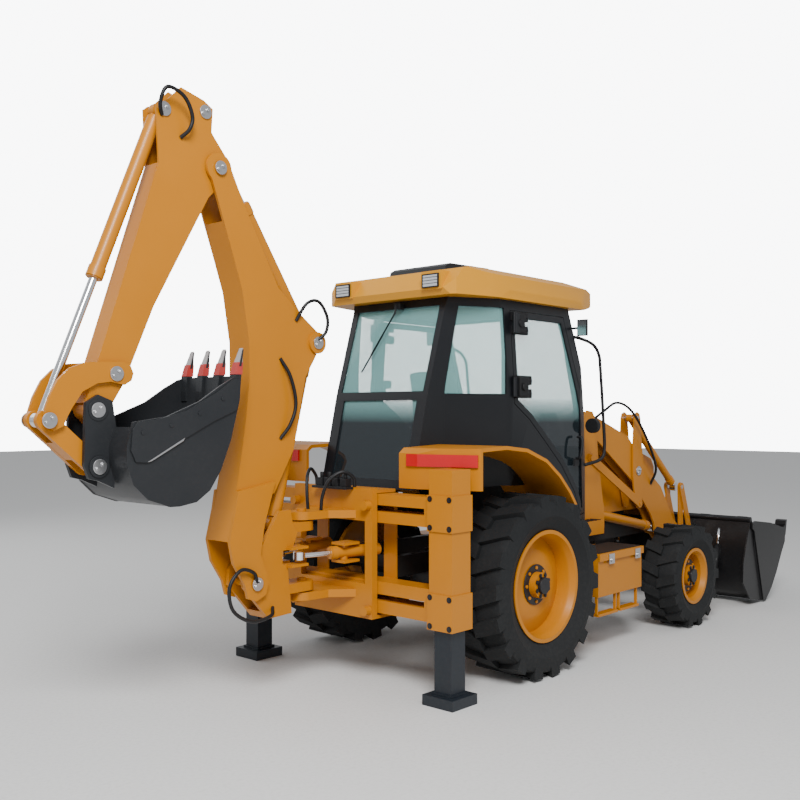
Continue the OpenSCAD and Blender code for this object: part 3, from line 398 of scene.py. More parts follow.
def hose(name, body, points, diameter=0.022):
    """A hydraulic hose on one body, from fitting to fitting."""
    path = smooth_path([at(*p) for p in points])
    curve = bpy.data.curves.new(name, "CURVE")
    curve.dimensions = "3D"
    curve.bevel_depth = diameter / 2
    curve.bevel_resolution = 4
    curve.use_fill_caps = True
    spline = curve.splines.new("POLY")
    spline.points.add(len(path) - 1)
    for place, point in zip(spline.points, path):
        place.co = (*point, 1)
    piece = bpy.data.objects.new(name, curve)
    bpy.context.scene.collection.objects.link(piece)
    curve.materials.append(finish_of("hose_black"))
    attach(piece, body)
    length = sum((b - a).length for a, b in zip(path, path[1:]))
    tuple(path[0])
    return piece


# Geometry nodes

def fastener_tree():
    """Puts a hexagonal head and its washer on each point, along the point's own axis."""
    if "fasteners" in GROUPS:
        return GROUPS["fasteners"]
    tree = bpy.data.node_groups.new("fasteners", "GeometryNodeTree")
    tree.interface.new_socket("Points", in_out="INPUT", socket_type="NodeSocketGeometry")
    for label, value in (("Head width", 0.024), ("Head height", 0.012)):
        tree.interface.new_socket(label, in_out="INPUT", socket_type="NodeSocketFloat").default_value = value
    tree.interface.new_socket("Finish", in_out="INPUT", socket_type="NodeSocketMaterial")
    tree.interface.new_socket("Fasteners", in_out="OUTPUT", socket_type="NodeSocketGeometry")
    new, link = tree.nodes.new, tree.links.new
    source, target = new("NodeGroupInput"), new("NodeGroupOutput")
    join = new("GeometryNodeJoinGeometry")
    for scale, height, sides in ((0.5, 1.0, 6), (0.78, 0.35, 16)):
        head = new("GeometryNodeMeshCylinder")
        head.inputs["Vertices"].default_value = sides
        link(math_geo(tree, source.outputs["Head width"], scale), head.inputs["Radius"])
        link(math_geo(tree, source.outputs["Head height"], height), head.inputs["Depth"])
        link(head.outputs["Mesh"], join.inputs[0])
    axis = new("GeometryNodeInputNamedAttribute")
    axis.data_type = "FLOAT_VECTOR"
    axis.inputs["Name"].default_value = "axis"
    turn = new("FunctionNodeAlignRotationToVector")
    turn.axis = "Z"
    link(axis.outputs[0], turn.inputs["Vector"])
    place = new("GeometryNodeInstanceOnPoints")
    link(source.outputs["Points"], place.inputs["Points"])
    link(join.outputs[0], place.inputs["Instance"])
    link(turn.outputs[0], place.inputs["Rotation"])
    real = new("GeometryNodeRealizeInstances")
    link(place.outputs[0], real.inputs[0])
    paint = new("GeometryNodeSetMaterial")
    link(real.outputs[0], paint.inputs["Geometry"])
    link(source.outputs["Finish"], paint.inputs["Material"])
    link(paint.outputs[0], target.inputs[0])
    GROUPS["fasteners"] = tree
    return tree


def math_geo(tree, socket, factor):
    """A socket times a number inside a geometry tree."""
    node = tree.nodes.new("ShaderNodeMath")
    node.operation = "MULTIPLY"
    tree.links.new(socket, node.inputs[0])
    node.inputs[1].default_value = factor
    return node.outputs[0]


def slat_tree():
    """A row of flat slats from a first corner, stepped by an offset."""
    if "slats" in GROUPS:
        return GROUPS["slats"]
    tree = bpy.data.node_groups.new("slats", "GeometryNodeTree")
    tree.interface.new_socket("Base", in_out="INPUT", socket_type="NodeSocketGeometry")
    tree.interface.new_socket("Count", in_out="INPUT", socket_type="NodeSocketInt").default_value = 8
    for label in ("First", "Step", "Size"):
        tree.interface.new_socket(label, in_out="INPUT", socket_type="NodeSocketVector")
    tree.interface.new_socket("Finish", in_out="INPUT", socket_type="NodeSocketMaterial")
    tree.interface.new_socket("Slats", in_out="OUTPUT", socket_type="NodeSocketGeometry")
    new, link = tree.nodes.new, tree.links.new
    source, target = new("NodeGroupInput"), new("NodeGroupOutput")
    line = new("GeometryNodeMeshLine")
    line.mode = "OFFSET"
    link(source.outputs["Count"], line.inputs["Count"])
    link(source.outputs["First"], line.inputs["Start Location"])
    link(source.outputs["Step"], line.inputs["Offset"])
    cube = new("GeometryNodeMeshCube")
    link(source.outputs["Size"], cube.inputs["Size"])
    place = new("GeometryNodeInstanceOnPoints")
    link(line.outputs[0], place.inputs["Points"])
    link(cube.outputs["Mesh"], place.inputs["Instance"])
    real = new("GeometryNodeRealizeInstances")
    link(place.outputs[0], real.inputs[0])
    paint = new("GeometryNodeSetMaterial")
    link(real.outputs[0], paint.inputs["Geometry"])
    link(source.outputs["Finish"], paint.inputs["Material"])
    link(paint.outputs[0], target.inputs[0])
    GROUPS["slats"] = tree
    return tree


def from_tree(name, base, tree, values, body):
    """Runs a tree on a base mesh with the given inputs and keeps the plain mesh."""
    holder = bpy.data.objects.new(name + "_base", base)
    bpy.context.scene.collection.objects.link(holder)
    modifier = holder.modifiers.new("Build", "NODES")
    modifier.node_group = tree
    sockets = {item.name: item.identifier for item in tree.interface.items_tree if item.in_out == "INPUT"}
    for label, value in values.items():
        modifier[sockets[label]] = value
    holder.update_tag()
    graph = bpy.context.evaluated_depsgraph_get()
    data = bpy.data.meshes.new_from_object(holder.evaluated_get(graph))
    data.name = name
    bpy.data.objects.remove(holder)
    piece = bpy.data.objects.new(name, data)
    bpy.context.scene.collection.objects.link(piece)
    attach(piece, body)
    return piece


def fasteners(name, body, places, width, height, finish="pin_steel"):
    """Bolt heads at places: (x, y, z, axis) in axle millimetres."""
    base = bpy.data.meshes.new(name + "_points")
    base.from_pydata([at(*p[:3]) for p in places], [], [])
    axis = base.attributes.new("axis", "FLOAT_VECTOR", "POINT")
    for item, place in zip(axis.data, places):
        item.vector = place[3]
    values = {"Head width": width, "Head height": height, "Finish": finish_of(finish)}
    return from_tree(name, base, fastener_tree(), values, body)


def slats(name, body, count, first, step, size, finish):
    """A row of slats: first centre in axle millimetres, step and size in millimetres."""
    base = bpy.data.meshes.new(name + "_start")
    base.from_pydata([at(*first)], [], [])
    values = {"Count": count, "First": tuple(at(*first)), "Step": tuple(s / 1000.0 for s in step),
              "Size": tuple(s / 1000.0 for s in size), "Finish": finish_of(finish)}
    return from_tree(name, base, slat_tree(), values, body)


def ring(centre, axis, radius, count, start=0.0, face=0.0):
    """Places on a circle about a Y axis, for fasteners()."""
    x, y, z = centre
    return [(x + radius * math.cos(a), y + face, z + radius * math.sin(a), axis)
            for a in (math.radians(start) + 2 * math.pi * k / count for k in range(count))]


# Settings

class LoaderSettings(bpy.types.PropertyGroup):
    """Sizes and colours that a user would change."""
    hose_diameter: bpy.props.FloatProperty(
        name="Hose diameter", description="Outer diameter of a hydraulic hose", default=0.024, min=0.01, max=0.04,
        unit="LENGTH")
    bolt_width: bpy.props.FloatProperty(
        name="Bolt head width", description="Width of a bolt head across its flats", default=0.026, min=0.01,
        max=0.05, unit="LENGTH")
    bolt_height: bpy.props.FloatProperty(
        name="Bolt head height", description="Height of a bolt head", default=0.014, min=0.005, max=0.03,
        unit="LENGTH")
    rail_diameter: bpy.props.FloatProperty(
        name="Handrail diameter", description="Diameter of the grab rail beside the cab", default=0.028, min=0.02,
        max=0.04, unit="LENGTH")
    paint_colour: bpy.props.FloatVectorProperty(
        name="Paint colour", description="Colour of the machine's paint", subtype="COLOR", size=3, min=0, max=1,
        default=FINISHES["machine_yellow"][0])
    floor_size: bpy.props.FloatProperty(
        name="Floor size", description="Side of the pale floor", default=90.0, min=20.0, max=200.0, unit="LENGTH")


def settings():
    """The scene's own settings."""
    return bpy.context.scene.loader_settings


# Operators

class LOADER_OT_camera(bpy.types.Operator):
    """Place the camera at the photograph's viewing angle"""
    bl_idname = "loader.camera"
    bl_label = "Camera"

    def execute(self, context):
        data = bpy.data.cameras.new("camera")
        data.lens = CAMERA_LENS
        data.sensor_width = CAMERA_SENSOR
        data.shift_y = CAMERA_SHIFT
        camera = bpy.data.objects.new("camera", data)
        context.scene.collection.objects.link(camera)
        camera.location = at(*CAMERA_PLACE)
        heading = math.atan2(CAMERA_SIDE, CAMERA_AHEAD)
        camera.rotation_euler = (math.radians(90), 0, heading - math.radians(90))
        context.scene.camera = camera
        return {"FINISHED"}


# Route of the hose on the left loader arm, in axle millimetres
ARM_HOSE = [(1600, 521, 1880), (1680, 590, 1960), (1860, 600, 2030), (2080, 600, 1990), (2290, 600, 1850),
            (2500, 600, 1620), (2640, 590, 1400), (2660, 521, 1250)]
# name: (body, points in axle millimetres)
HOSES = {
    "hose_dipper_top": ("dipper", [
        (-2610, -76, 3730), (-2650, -120, 3790), (-2620, -150, 3880), (-2500, -150, 3850), (-2430, -135, 3750),
        (-2440, -120, 3670), (-2475, -76, 3620)]),
    "hose_boom_top": ("boom", [
        (-1560, -104, 2560), (-1500, -150, 2680), (-1400, -160, 2700), (-1320, -160, 2600), (-1320, -150, 2500),
        (-1370, -124, 2440)]),
    "hose_boom_knee": ("boom", [
        (-1700, -104, 2300), (-1640, -140, 2180), (-1600, -150, 2000), (-1640, -140, 1860), (-1700, -104, 1760)]),
    "hose_post_loop": ("swing_post", [
        (-1760, -98, 640), (-1820, -150, 600), (-1990, -165, 590), (-2140, -165, 680), (-2170, -165, 830),
        (-2080, -165, 930), (-1970, -160, 900), (-1925, -137, 830)]),
    "hose_carriage_left": ("carriage", [
        (-1100, 180, 1410), (-1110, 180, 1475), (-1180, 160, 1530), (-1260, 110, 1480), (-1290, 80, 1360),
        (-1290, 70, 1250)]),
    "hose_carriage_right": ("carriage", [
        (-1100, -210, 1410), (-1115, -210, 1480), (-1190, -180, 1520), (-1265, -120, 1460), (-1290, -80, 1350),
        (-1290, -65, 1250)]),
    "hose_arm_right": ("loader_arms", [(x, -y, z) for x, y, z in ARM_HOSE]),
    "hose_arm_left": ("loader_arms", ARM_HOSE),
}


class LOADER_OT_hoses(bpy.types.Operator):
    """Lay the hydraulic hoses"""
    bl_idname = "loader.hoses"
    bl_label = "Hoses"

    def execute(self, context):
        for name, (body, points) in HOSES.items():
            hose(name, body, points, settings().hose_diameter)
        return {"FINISHED"}


YELLOW = ("rear_frame rear_fenders side_boxes toolbox_lid hood rim_front_left rim_front_right "
          "rim_rear_left rim_rear_right loader_arms lift_barrels tilt_levers level_bars tilt_barrels guide_levers "
          "bucket_links carriage swing_post swing_barrel_left swing_barrel_right boom boom_barrel dipper "
          "dipper_barrel bucket_barrel tipping_levers tipping_link").split()
NODE_FINISHES = {
    "axles": "dark_paint", "engine_block": "engine_iron", "cab_frame": "cab_black", "cab_roof": "roof_yellow",
    "cab_interior": "trim_plastic", "knuckle_left": "dark_paint", "knuckle_right": "dark_paint",
    "loader_bucket": "bucket_black", "bucket_jaw": "bucket_black", "hoe_bucket": "bucket_grey",
    "stabiliser_left": "leg_blue_grey", "stabiliser_right": "leg_blue_grey",
}
NODE_FINISHES.update({name: "machine_yellow" for name in YELLOW})
NODE_FINISHES.update({name: "tread_rubber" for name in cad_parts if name.startswith("tyre_")})
NODE_FINISHES.update({name: "rod_chrome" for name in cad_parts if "_rod" in name})
NODE_FINISHES.update({name: "pin_steel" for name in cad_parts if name.endswith("_pins")})


def soft_shading_tree():
    """Joins a solid's loose triangles and shades its round faces smooth."""
    tree = bpy.data.node_groups.new("soft_shading", "GeometryNodeTree")
    tree.interface.new_socket("Solid", in_out="INPUT", socket_type="NodeSocketGeometry")
    tree.interface.new_socket("Angle", in_out="INPUT", socket_type="NodeSocketFloat").default_value = 0.55
    tree.interface.new_socket("Shaded", in_out="OUTPUT", socket_type="NodeSocketGeometry")
    new, link = tree.nodes.new, tree.links.new
    source, target = new("NodeGroupInput"), new("NodeGroupOutput")
    merge = new("GeometryNodeMergeByDistance")
    merge.inputs["Distance"].default_value = MERGE_DISTANCE
    faces, edges = new("GeometryNodeSetShadeSmooth"), new("GeometryNodeSetShadeSmooth")
    faces.domain, edges.domain = "FACE", "EDGE"
    angle, sharp = new("GeometryNodeInputMeshEdgeAngle"), new("FunctionNodeCompare")
    sharp.operation = "GREATER_THAN"
    link(source.outputs["Solid"], merge.inputs["Geometry"])
    link(merge.outputs[0], faces.inputs["Geometry"])
    faces.inputs["Shade Smooth"].default_value = True
    link(faces.outputs[0], edges.inputs["Geometry"])
    link(angle.outputs["Unsigned Angle"], sharp.inputs[0])
    link(source.outputs["Angle"], sharp.inputs[1])
    link(sharp.outputs[0], edges.inputs["Selection"])
    edges.inputs["Shade Smooth"].default_value = False
    link(edges.outputs[0], target.inputs[0])
    return tree


class LOADER_OT_paint(bpy.types.Operator):
    """Give every solid its finish"""
    bl_idname = "loader.paint"
    bl_label = "Paint"

    def execute(self, context):
        tree = soft_shading_tree()
        for name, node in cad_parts.items():
            if name == "cab_glass":
                finish = glass_with_painted_shade()
            elif name == "chassis_frame":
                finish = frame_finish()
            elif name in NODE_FINISHES:
                finish = finish_of(NODE_FINISHES[name])
            else:
                continue
            node.data.materials.clear()
            node.data.materials.append(finish)
            modifier = node.modifiers.new("Soft shading", "NODES")
            modifier.node_group = tree
        paint = finish_of("machine_yellow").node_tree
        for node in paint.nodes:
            if node.type == "GROUP":
                node.inputs["Colour"].default_value = (*settings().paint_colour, 1)
        return {"FINISHED"}


def islands(mesh):
    """The separate solids of a merged mesh, as lists of faces."""
    left = set(mesh.faces)
    while left:
        start = left.pop()
        group, queue = [start], [start]
        while queue:
            for edge in queue.pop().edges:
                for face in edge.link_faces:
                    if face in left:
                        left.remove(face)
                        group.append(face)
                        queue.append(face)
        yield group


class LOADER_OT_doors(bpy.types.Operator):
    """Make the doors' panels black and their panes glass"""
    bl_idname = "loader.doors"
    bl_label = "Doors"

    def execute(self, context):
        for side in ("left", "right"):
            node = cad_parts["door_" + side]
            mesh = bmesh.new()
            mesh.from_mesh(node.data)
            bmesh.ops.remove_doubles(mesh, verts=mesh.verts, dist=MERGE_DISTANCE)
            for group in islands(mesh):
                heights = [v.co.z for face in group for v in face.verts]
                low, high = min(heights), max(heights)
                pane = low > PANE_LOW and high < PANE_HIGH and high - low > PANE_SPAN
                for face in group:
                    face.material_index = 1 if pane else 0
                    face.smooth = False
            piece = finished("door_panel_" + side, mesh, "door_" + side, [finish_of("cab_black"), glass_with_painted_shade()])
            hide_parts("door_" + side)
            sign = 1 if side == "left" else -1
            hinges = bmesh.new()
            bolts = []
            for z, skin in ((2060, 724), (2550, 690)):
                box_into(hinges, (104, sign * skin, z - 10), (300, sign * (skin + 34), z + 60))
                box_into(hinges, (104, sign * skin, z + 92), (300, sign * (skin + 34), z + 162))
                box_into(hinges, (120, sign * skin, z), (232, sign * (skin + 52), z + 150))
                bolts += [(x, sign * (skin + 34), z + h, (0, sign, 0)) for x in (255, 285) for h in (25, 127)]
                disc_into(hinges, (172, sign * (skin + 52), z + 75), (0, sign, 0), 30, 14, 20)
            plastic = [finish_of("trim_plastic")]
            finished("door_hinges_" + side, hinges, "door_" + side, plastic, 0.006)
            fasteners("hinge_bolts_" + side, "door_" + side, bolts, 0.018, 0.014, "dark_paint")
            handle = bmesh.new()
            tube_into(handle, smooth_path([at(960, sign * 742, 1560), at(960, sign * 785, 1580),
                                           at(985, sign * 785, 1720), at(985, sign * 738, 1740)]), 0.011)
            box_into(handle, (930, sign * 736, 1500), (1000, sign * 748, 1560))
            finished("door_handle_" + side, handle, "door_" + side, plastic, 0.002)
        return {"FINISHED"}


class LOADER_OT_lamps(bpy.types.Operator):
    """Build the tail lamps and the roof's working lamps"""
    bl_idname = "loader.lamps"
    bl_label = "Lamps"

    def execute(self, context):
        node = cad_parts["lamps"]
        mesh = bmesh.new()
        mesh.from_mesh(node.data)
        bmesh.ops.remove_doubles(mesh, verts=mesh.verts, dist=MERGE_DISTANCE)
        for group in islands(mesh):
            high = max(v.co.z for face in group for v in face.verts) > CLEAR_LAMP_HEIGHT
            for face in group:
                face.material_index = 1 if high else 0
        for side in (1, -1):
            for y0, y1, z0, z1 in ((378, 385.5, 2854, 2954), (526.5, 534, 2854, 2954),
                                   (385.5, 526.5, 2854, 2861.5), (385.5, 526.5, 2946.5, 2954)):
                box_into(mesh, (-572, side * y0, z0), (-556.5, side * y1, z1), 2)
            for z in (2882, 2904, 2926):
                box_into(mesh, (-570.5, side * 388, z), (-568.2, side * 524, z + 4), 2)
        finishes = [finish_of(name) for name in ("lamp_red", "lamp_clear", "trim_plastic")]
        piece = finished("lamp_lenses", mesh, "machine", finishes, 0.002)
        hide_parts("lamps")
        return {"FINISHED"}


def cushion(name, low, high, lean=None):
    """A padded block that a short cloth run puffs out."""
    mesh = bmesh.new()
    box_into(mesh, low, high)
    bmesh.ops.recalc_face_normals(mesh, faces=mesh.faces)
    data = bpy.data.meshes.new(name)
    mesh.to_mesh(data)
    mesh.free()
    piece = bpy.data.objects.new(name, data)
    bpy.context.scene.collection.objects.link(piece)
    edge = piece.modifiers.new("Edge", "BEVEL")
    edge.width, edge.segments = 0.030, 4
    grid = piece.modifiers.new("Grid", "REMESH")
    grid.mode, grid.voxel_size = "VOXEL", 0.006
    bake_modifiers(piece)
    cloth = piece.modifiers.new("Fill", "CLOTH")
    cloth.settings.effector_weights.gravity = 0
    cloth.settings.use_pressure = True
    cloth.settings.uniform_pressure_force = CLOTH_PRESSURE
    cloth.settings.tension_stiffness = cloth.settings.compression_stiffness = CLOTH_STIFFNESS
    cloth.point_cache.frame_start, cloth.point_cache.frame_end = 1, CLOTH_FRAMES
    for step in range(1, CLOTH_FRAMES + 1):
        bpy.context.scene.frame_set(step)
    bake_modifiers(piece)
    bpy.context.scene.frame_set(1)
    for face in piece.data.polygons:
        face.use_smooth = True
    piece.data.materials.append(cloth_finish())
    if lean:
        pivot, angle = at(*lean[0]), lean[1]
        turn = Matrix.Translation(pivot) @ Matrix.Rotation(angle, 4, "Y") @ Matrix.Translation(-pivot)
        piece.data.transform(turn)
    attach(piece, "machine")
    return piece


def bake_modifiers(piece):
    """Keeps the evaluated mesh and drops the modifiers."""
    graph = bpy.context.evaluated_depsgraph_get()
    data = bpy.data.meshes.new_from_object(piece.evaluated_get(graph))
    piece.modifiers.clear()
    piece.data = data


class LOADER_OT_seat(bpy.types.Operator):
    """Pad the operator's seat"""
    bl_idname = "loader.seat"
    bl_label = "Seat"

    def execute(self, context):
        base = cushion("seat_cushion", (40, -235, 1570), (490, 235, 1678))
        back = cushion("seat_back", (20, -225, 1690), (120, 225, 2270), ((70, 0, 1690), math.radians(-7)))
        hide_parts("seat")
        mesh = bmesh.new()
        for side in (1, -1):
            box_into(mesh, (60, side * 262, 1830), (380, side * 312, 1870))
            box_into(mesh, (60, side * 255, 1600), (110, side * 275, 1850))
        box_into(mesh, (60, -200, 1560.5), (470, 200, 1574))
        finished("seat_rests", mesh, "machine", [finish_of("trim_plastic")], 0.008)
        return {"FINISHED"}


class LOADER_OT_cab_fittings(bpy.types.Operator):
    """Fit the cab's rail, wiper, mirrors' glass and lamp"""
    bl_idname = "loader.cab_fittings"
    bl_label = "Cab fittings"

    def execute(self, context):
        black = finish_of("trim_plastic")
        for side in (1, -1):
            mesh = bmesh.new()
            route = [(990, 668, 2575), (1060, 722, 2560), (1250, 728, 2520), (1345, 728, 2440), (1372, 728, 2320),
                     (1420, 728, 1900), (1440, 728, 1640), (1400, 715, 1540), (1255, 640, 1490)]
            tube_into(mesh, smooth_path([at(x, side * y, z) for x, y, z in route]), settings().rail_diameter / 2)
            finished("grab_rail_" + ("left" if side > 0 else "right"), mesh, "machine", [black])
            mesh = bmesh.new()
            disc_into(mesh, (1172, side * 716, 1830), (0, side, 0), 16, 46)
            disc_into(mesh, (1150, side * 775, 1830), (1, 0, 0), 62, 44, 28)
            disc_into(mesh, (1194.3, side * 775, 1830), (1, 0, 0), 54, 3, 28, 1)
            finished("side_lamp_" + ("left" if side > 0 else "right"), mesh, "machine",
                     [black, finish_of("lamp_clear")], 0.003)
        mesh = bmesh.new()
        tube_into(mesh, [at(-475, -40, 2760), at(-492, -40, 2700), at(-560, 150, 2380)], 0.007)
        tube_into(mesh, [at(-517, 60, 2540), at(-596, 215, 2250)], 0.006)
        box_into(mesh, (-470, -70, 2730), (-420, -10, 2775))
        finished("rear_wiper", mesh, "machine", [black])
        mesh = bmesh.new()
        for side in (1, -1):
            box_into(mesh, (926.5, side * 776, 2576), (929.5, side * 856, 2699))
        finished("mirror_glass", mesh, "machine", [finish_of("rod_chrome")])
        return {"FINISHED"}


class LOADER_OT_fasteners(bpy.types.Operator):
    """Set wheel nuts and the bolts of the pins' keeper plates"""
    bl_idname = "loader.fasteners"
    bl_label = "Fasteners"

    def execute(self, context):
        width, height = settings().bolt_width, settings().bolt_height
        # label, x, y and z of the wheel's middle, width of its tyre
        for label, x, y, z, w in (("rear", 0, 905, 670, 470), ("front", 2370, 975, 457.5, 345)):
            for side, sign in (("left", 1), ("right", -1)):
                face = sign * w * 0.32
                mesh = bmesh.new()
                disc_into(mesh, (x, sign * (y + w * 0.315), z), (0, sign, 0), 62, 30, 32)
                disc_into(mesh, (x, sign * (y + w * 0.18 + 3), z), (0, sign, 0), 150, 9, 40)
                finished("hub_cap_%s_%s" % (label, side), mesh, "wheel_%s_%s" % (label, side),
                         [finish_of("dark_paint")], 0.004)
                places = ring((x, sign * y + face, z), (0, sign, 0), 80, 8, 22.5, sign * 6)
                fasteners("hub_bolts_%s_%s" % (label, side), "wheel_%s_%s" % (label, side), places, width * 0.8,
                          height, "dark_paint")
        keepers = {
            "swing_post": [(-1920, 137, 820)], "boom": [(-1370, 123, 2420), (-2200, 115, 3480)],
            "dipper": [(-2591, 75, 3770), (-2289, 75, 3819)],
            "tipping_levers": [(-2933, 103, 2158)], "tipping_link": [(-3351, 115, 1891)],
            "hoe_bucket": [(-3053, 107, 1948), (-3050, 117, 1627)],
            "tilt_levers": [(2385, 541, 1390)],
        }
        for body, pins in keepers.items():
            mesh = bmesh.new()
            places = []
            for x, y, z in pins:
                for sign in (1, -1):
                    disc_into(mesh, (x, sign * y, z), (0, sign, 0), 44, 8, 32)
                    places += ring((x, sign * (y + 8), z), (0, sign, 0), 22, 2, 35, sign * 4)
            finished("pin_caps_" + body, mesh, body, [finish_of("pin_steel")], 0.002)
            fasteners("cap_bolts_" + body, body, places, width * 0.7, height)
        places = [(-1090, sign * y, z, (-1, 0, 0)) for sign in (1, -1) for y in (900, 1065)
                  for z in (525, 715, 1175, 1365)]
        fasteners("column_bolts", "machine", places, width, height, "dark_paint")
        return {"FINISHED"}


# Reinforcing plate on the digging bucket's side, (x, z) in axle millimetres
SIDE_CUTTER = [(-2955, 1835), (-2925, 1880), (-2799, 1893), (-2593, 1945), (-2376, 2055), (-2250, 2138),
               (-2192, 2146), (-2200, 2013), (-2222, 1951), (-2401, 1880), (-2605, 1781), (-2854, 1649),
               (-2935, 1655), (-2965, 1720)]


class LOADER_OT_backhoe_fittings(bpy.types.Operator):
    """Add the digging bucket's teeth and side plates and the valve block"""
    bl_idname = "loader.backhoe_fittings"
    bl_label = "Digging arm fittings"

    def execute(self, context):
        steel, black, grey = finish_of("pin_steel"), finish_of("trim_plastic"), finish_of("bucket_grey")
        mesh = bmesh.new()
        for y in (-200, -120, -40, 40):
            box_into(mesh, (-1180, y, 1412), (-1124, y + 60, 1470))
            disc_into(mesh, (-1152, y + 30, 1470), (0, 0, 1), 14, 40, 16)
        box_into(mesh, (-1200, -220, 1396), (-1121, 130, 1414))
        finished("valve_block", mesh, "carriage", [black], 0.003)
        mesh = bmesh.new()
        for k in range(4):
            y = 170 * k - 255
            loft_into(mesh, [(-2210, y, 2010, 13, 31, 2), (-2203, y, 2070, 22, 31, 2), (-2193, y, 2172, 22, 31, 2),
                             (-2190, y, 2172, 28, 28, 0), (-2174, y, 2248, 20, 25, 0), (-2172, y, 2248, 17, 22, 1),
                             (-2149, y, 2338, 4, 13, 1)])
        finished("bucket_teeth", mesh, "hoe_bucket", [finish_of("tooth_red"), finish_of("tooth_grey"), grey],
                 0.004)
        mesh = bmesh.new()
        for side in (1, -1):
            y0, y1 = sorted((side * 295, side * 307))
            prism_into(mesh, SIDE_CUTTER, y0, y1)
            y0, y1 = sorted((side * 306.5, side * 309))
            prism_into(mesh, [(-2865, 1650), (-2605, 1787), (-2617, 1768), (-2832, 1658)], y0, y1, 1)
            for x, z in ((-2890, 1820), (-2700, 1860), (-2500, 1930), (-2330, 2020)):
                disc_into(mesh, (x, side * 307, z), (0, side, 0), 13, 5, 12)
            disc_into(mesh, (-3053, side * 105, 1948), (0, side, 0), 62, 6, 32)
            disc_into(mesh, (-3050, side * 111, 1627), (0, side, 0), 62, 6, 32)
        finished("side_cutters", mesh, "hoe_bucket", [grey, steel], 0.003)
        return {"FINISHED"}


class LOADER_OT_loader_fittings(bpy.types.Operator):
    """Add the clam cylinders behind the front bucket"""
    bl_idname = "loader.loader_fittings"
    bl_label = "Loader fittings"

    def execute(self, context):
        mesh = bmesh.new()
        for sign in (1, -1):
            a, b = at(3480, sign * 800, 300), at(3600, sign * 800, 760)
            tube_into(mesh, [a, a.lerp(b, 0.62)], 0.036, 20, 0)
            tube_into(mesh, [a.lerp(b, 0.6), b], 0.018, 16, 1)
        finished("clam_cylinders", mesh, "loader_bucket", [finish_of("bucket_black"), finish_of("rod_chrome")])
        return {"FINISHED"}


class LOADER_OT_toolbox(bpy.types.Operator):
    """Fit the toolbox's latches and the steps' treads"""
    bl_idname = "loader.toolbox"
    bl_label = "Toolbox and steps"

    def execute(self, context):
        mesh = bmesh.new()
        for x in (1010, 1440):
            box_into(mesh, (x, -1028, 708), (x + 84, -1021, 790))
            disc_into(mesh, (x + 42, -1028, 738), (0, -1, 0), 17, 9, 20)
        finished("toolbox_latches", mesh, "toolbox_lid", [finish_of("pin_steel")], 0.001)
        mesh = bmesh.new()
        box_into(mesh, (900, -998, 800.2), (1570, -690, 806))
        finished("toolbox_mat", mesh, "toolbox_lid", [finish_of("trim_plastic")], 0.001)
        mesh = bmesh.new()
        for x in (890, 1240):
            for side in (0, 290):
                box_into(mesh, (x + side, -985, 300), (x + side + 16, -960, 452))
            box_into(mesh, (x, -1000, 290), (x + 306, -925, 312))
        finished("hanging_steps", mesh, "machine", [finish_of("machine_yellow")], 0.003)
        slats("step_treads", "machine", 9, (1010, -600, 1003), (62, 0, 0), (26, 96, 5), "trim_plastic")
        return {"FINISHED"}


class LOADER_OT_grilles(bpy.types.Operator):
    """Put dark slats behind the hood's openings"""
    bl_idname = "loader.grilles"
    bl_label = "Grilles"

    def execute(self, context):
        slats("nose_grille", "hood", 30, (2992, -290, 1200), (0, 20, 0), (6, 5, 330), "trim_plastic")
        return {"FINISHED"}


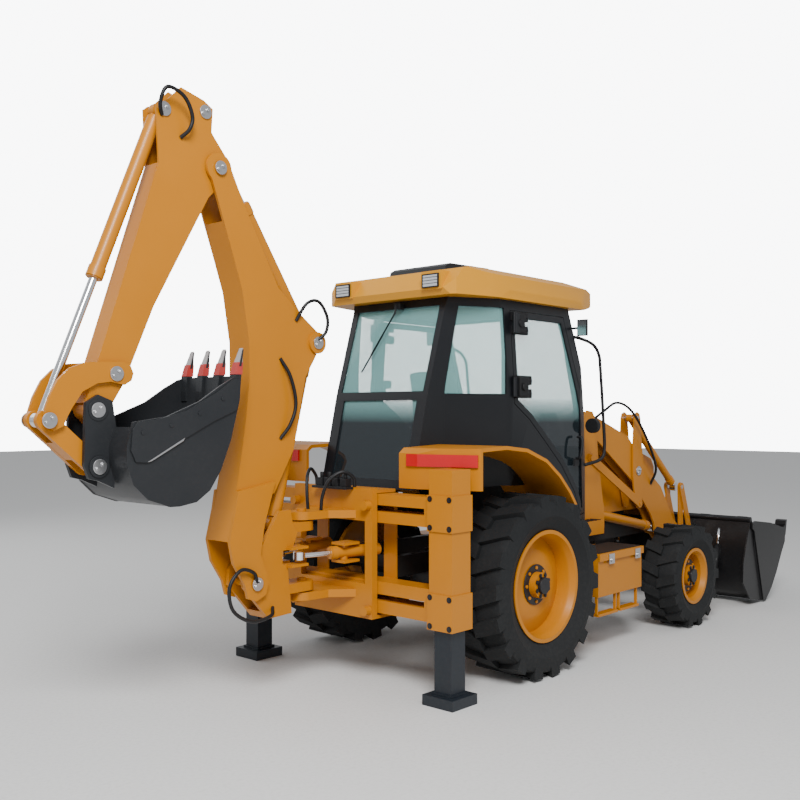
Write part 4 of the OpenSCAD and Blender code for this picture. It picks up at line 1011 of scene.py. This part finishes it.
class LOADER_OT_stage(bpy.types.Operator):
    """Lay the floor and set the lights"""
    bl_idname = "loader.stage"
    bl_label = "Stage"

    def execute(self, context):
        half = settings().floor_size / 2
        data = bpy.data.meshes.new("floor")
        corners = [(-half, -half, 0), (half, -half, 0), (half, half, 0), (-half, half, 0)]
        data.from_pydata(corners, [], [(0, 1, 2, 3)])
        floor = bpy.data.objects.new("floor", data)
        context.scene.collection.objects.link(floor)
        floor.data.materials.append(finish_of("concrete"))
        world = bpy.data.worlds.new("studio")
        world.use_nodes = True
        tree = world.node_tree
        seen, mix, path = (tree.nodes.new(kind) for kind in (
            "ShaderNodeBackground", "ShaderNodeMixShader", "ShaderNodeLightPath"))
        light = tree.nodes["Background"]
        light.inputs[0].default_value, light.inputs[1].default_value = (0.95, 0.97, 1.0, 1), 0.62
        seen.inputs[0].default_value, seen.inputs[1].default_value = (0.98, 0.99, 1.0, 1), 9.0
        tree.links.new(path.outputs["Is Camera Ray"], mix.inputs[0])
        tree.links.new(light.outputs[0], mix.inputs[1])
        tree.links.new(seen.outputs[0], mix.inputs[2])
        tree.links.new(mix.outputs[0], tree.nodes["World Output"].inputs[0])
        context.scene.world = world
        for name, place, size, power, aim in (
                ("key_light", (-8, -7, 9), 4.0, 1900, (0, 0, 1)), ("fill_light", (-3, 9, 6), 8.0, 260, (0, 0, 1))):
            light = bpy.data.lights.new(name, "AREA")
            light.size, light.energy = size, power
            lamp = bpy.data.objects.new(name, light)
            context.scene.collection.objects.link(lamp)
            lamp.location = place
            lamp.rotation_euler = (Vector(aim) - Vector(place)).to_track_quat("-Z", "Y").to_euler()
        return {"FINISHED"}


OPERATORS = (LOADER_OT_camera, LOADER_OT_hoses, LOADER_OT_paint, LOADER_OT_doors, LOADER_OT_lamps, LOADER_OT_seat,
             LOADER_OT_cab_fittings, LOADER_OT_fasteners, LOADER_OT_backhoe_fittings, LOADER_OT_loader_fittings,
             LOADER_OT_toolbox, LOADER_OT_grilles, LOADER_OT_stage)


class LOADER_PT_looks(bpy.types.Panel):
    """Sizes, colours and steps of the loader's looks"""
    bl_idname = "LOADER_PT_looks"
    bl_label = "Backhoe loader"
    bl_space_type = "VIEW_3D"
    bl_region_type = "UI"
    bl_category = "Loader"

    def draw(self, context):
        for name in LoaderSettings.__annotations__:
            self.layout.prop(context.scene.loader_settings, name)
        for operator in OPERATORS:
            self.layout.operator(operator.bl_idname)


def register():
    """Registers the settings, the operators and the panel."""
    for item in (LoaderSettings, *OPERATORS, LOADER_PT_looks):
        bpy.utils.register_class(item)
    bpy.types.Scene.loader_settings = bpy.props.PointerProperty(type=LoaderSettings)


def unregister():
    """Removes what register() added."""
    del bpy.types.Scene.loader_settings
    for item in reversed((LoaderSettings, *OPERATORS, LOADER_PT_looks)):
        bpy.utils.unregister_class(item)


def main():
    """Builds every piece in order."""
    register()
    for operator in OPERATORS:
        group, name = operator.bl_idname.split(".")
        getattr(getattr(bpy.ops, group), name)()


if __name__ == "__main__":
    main()
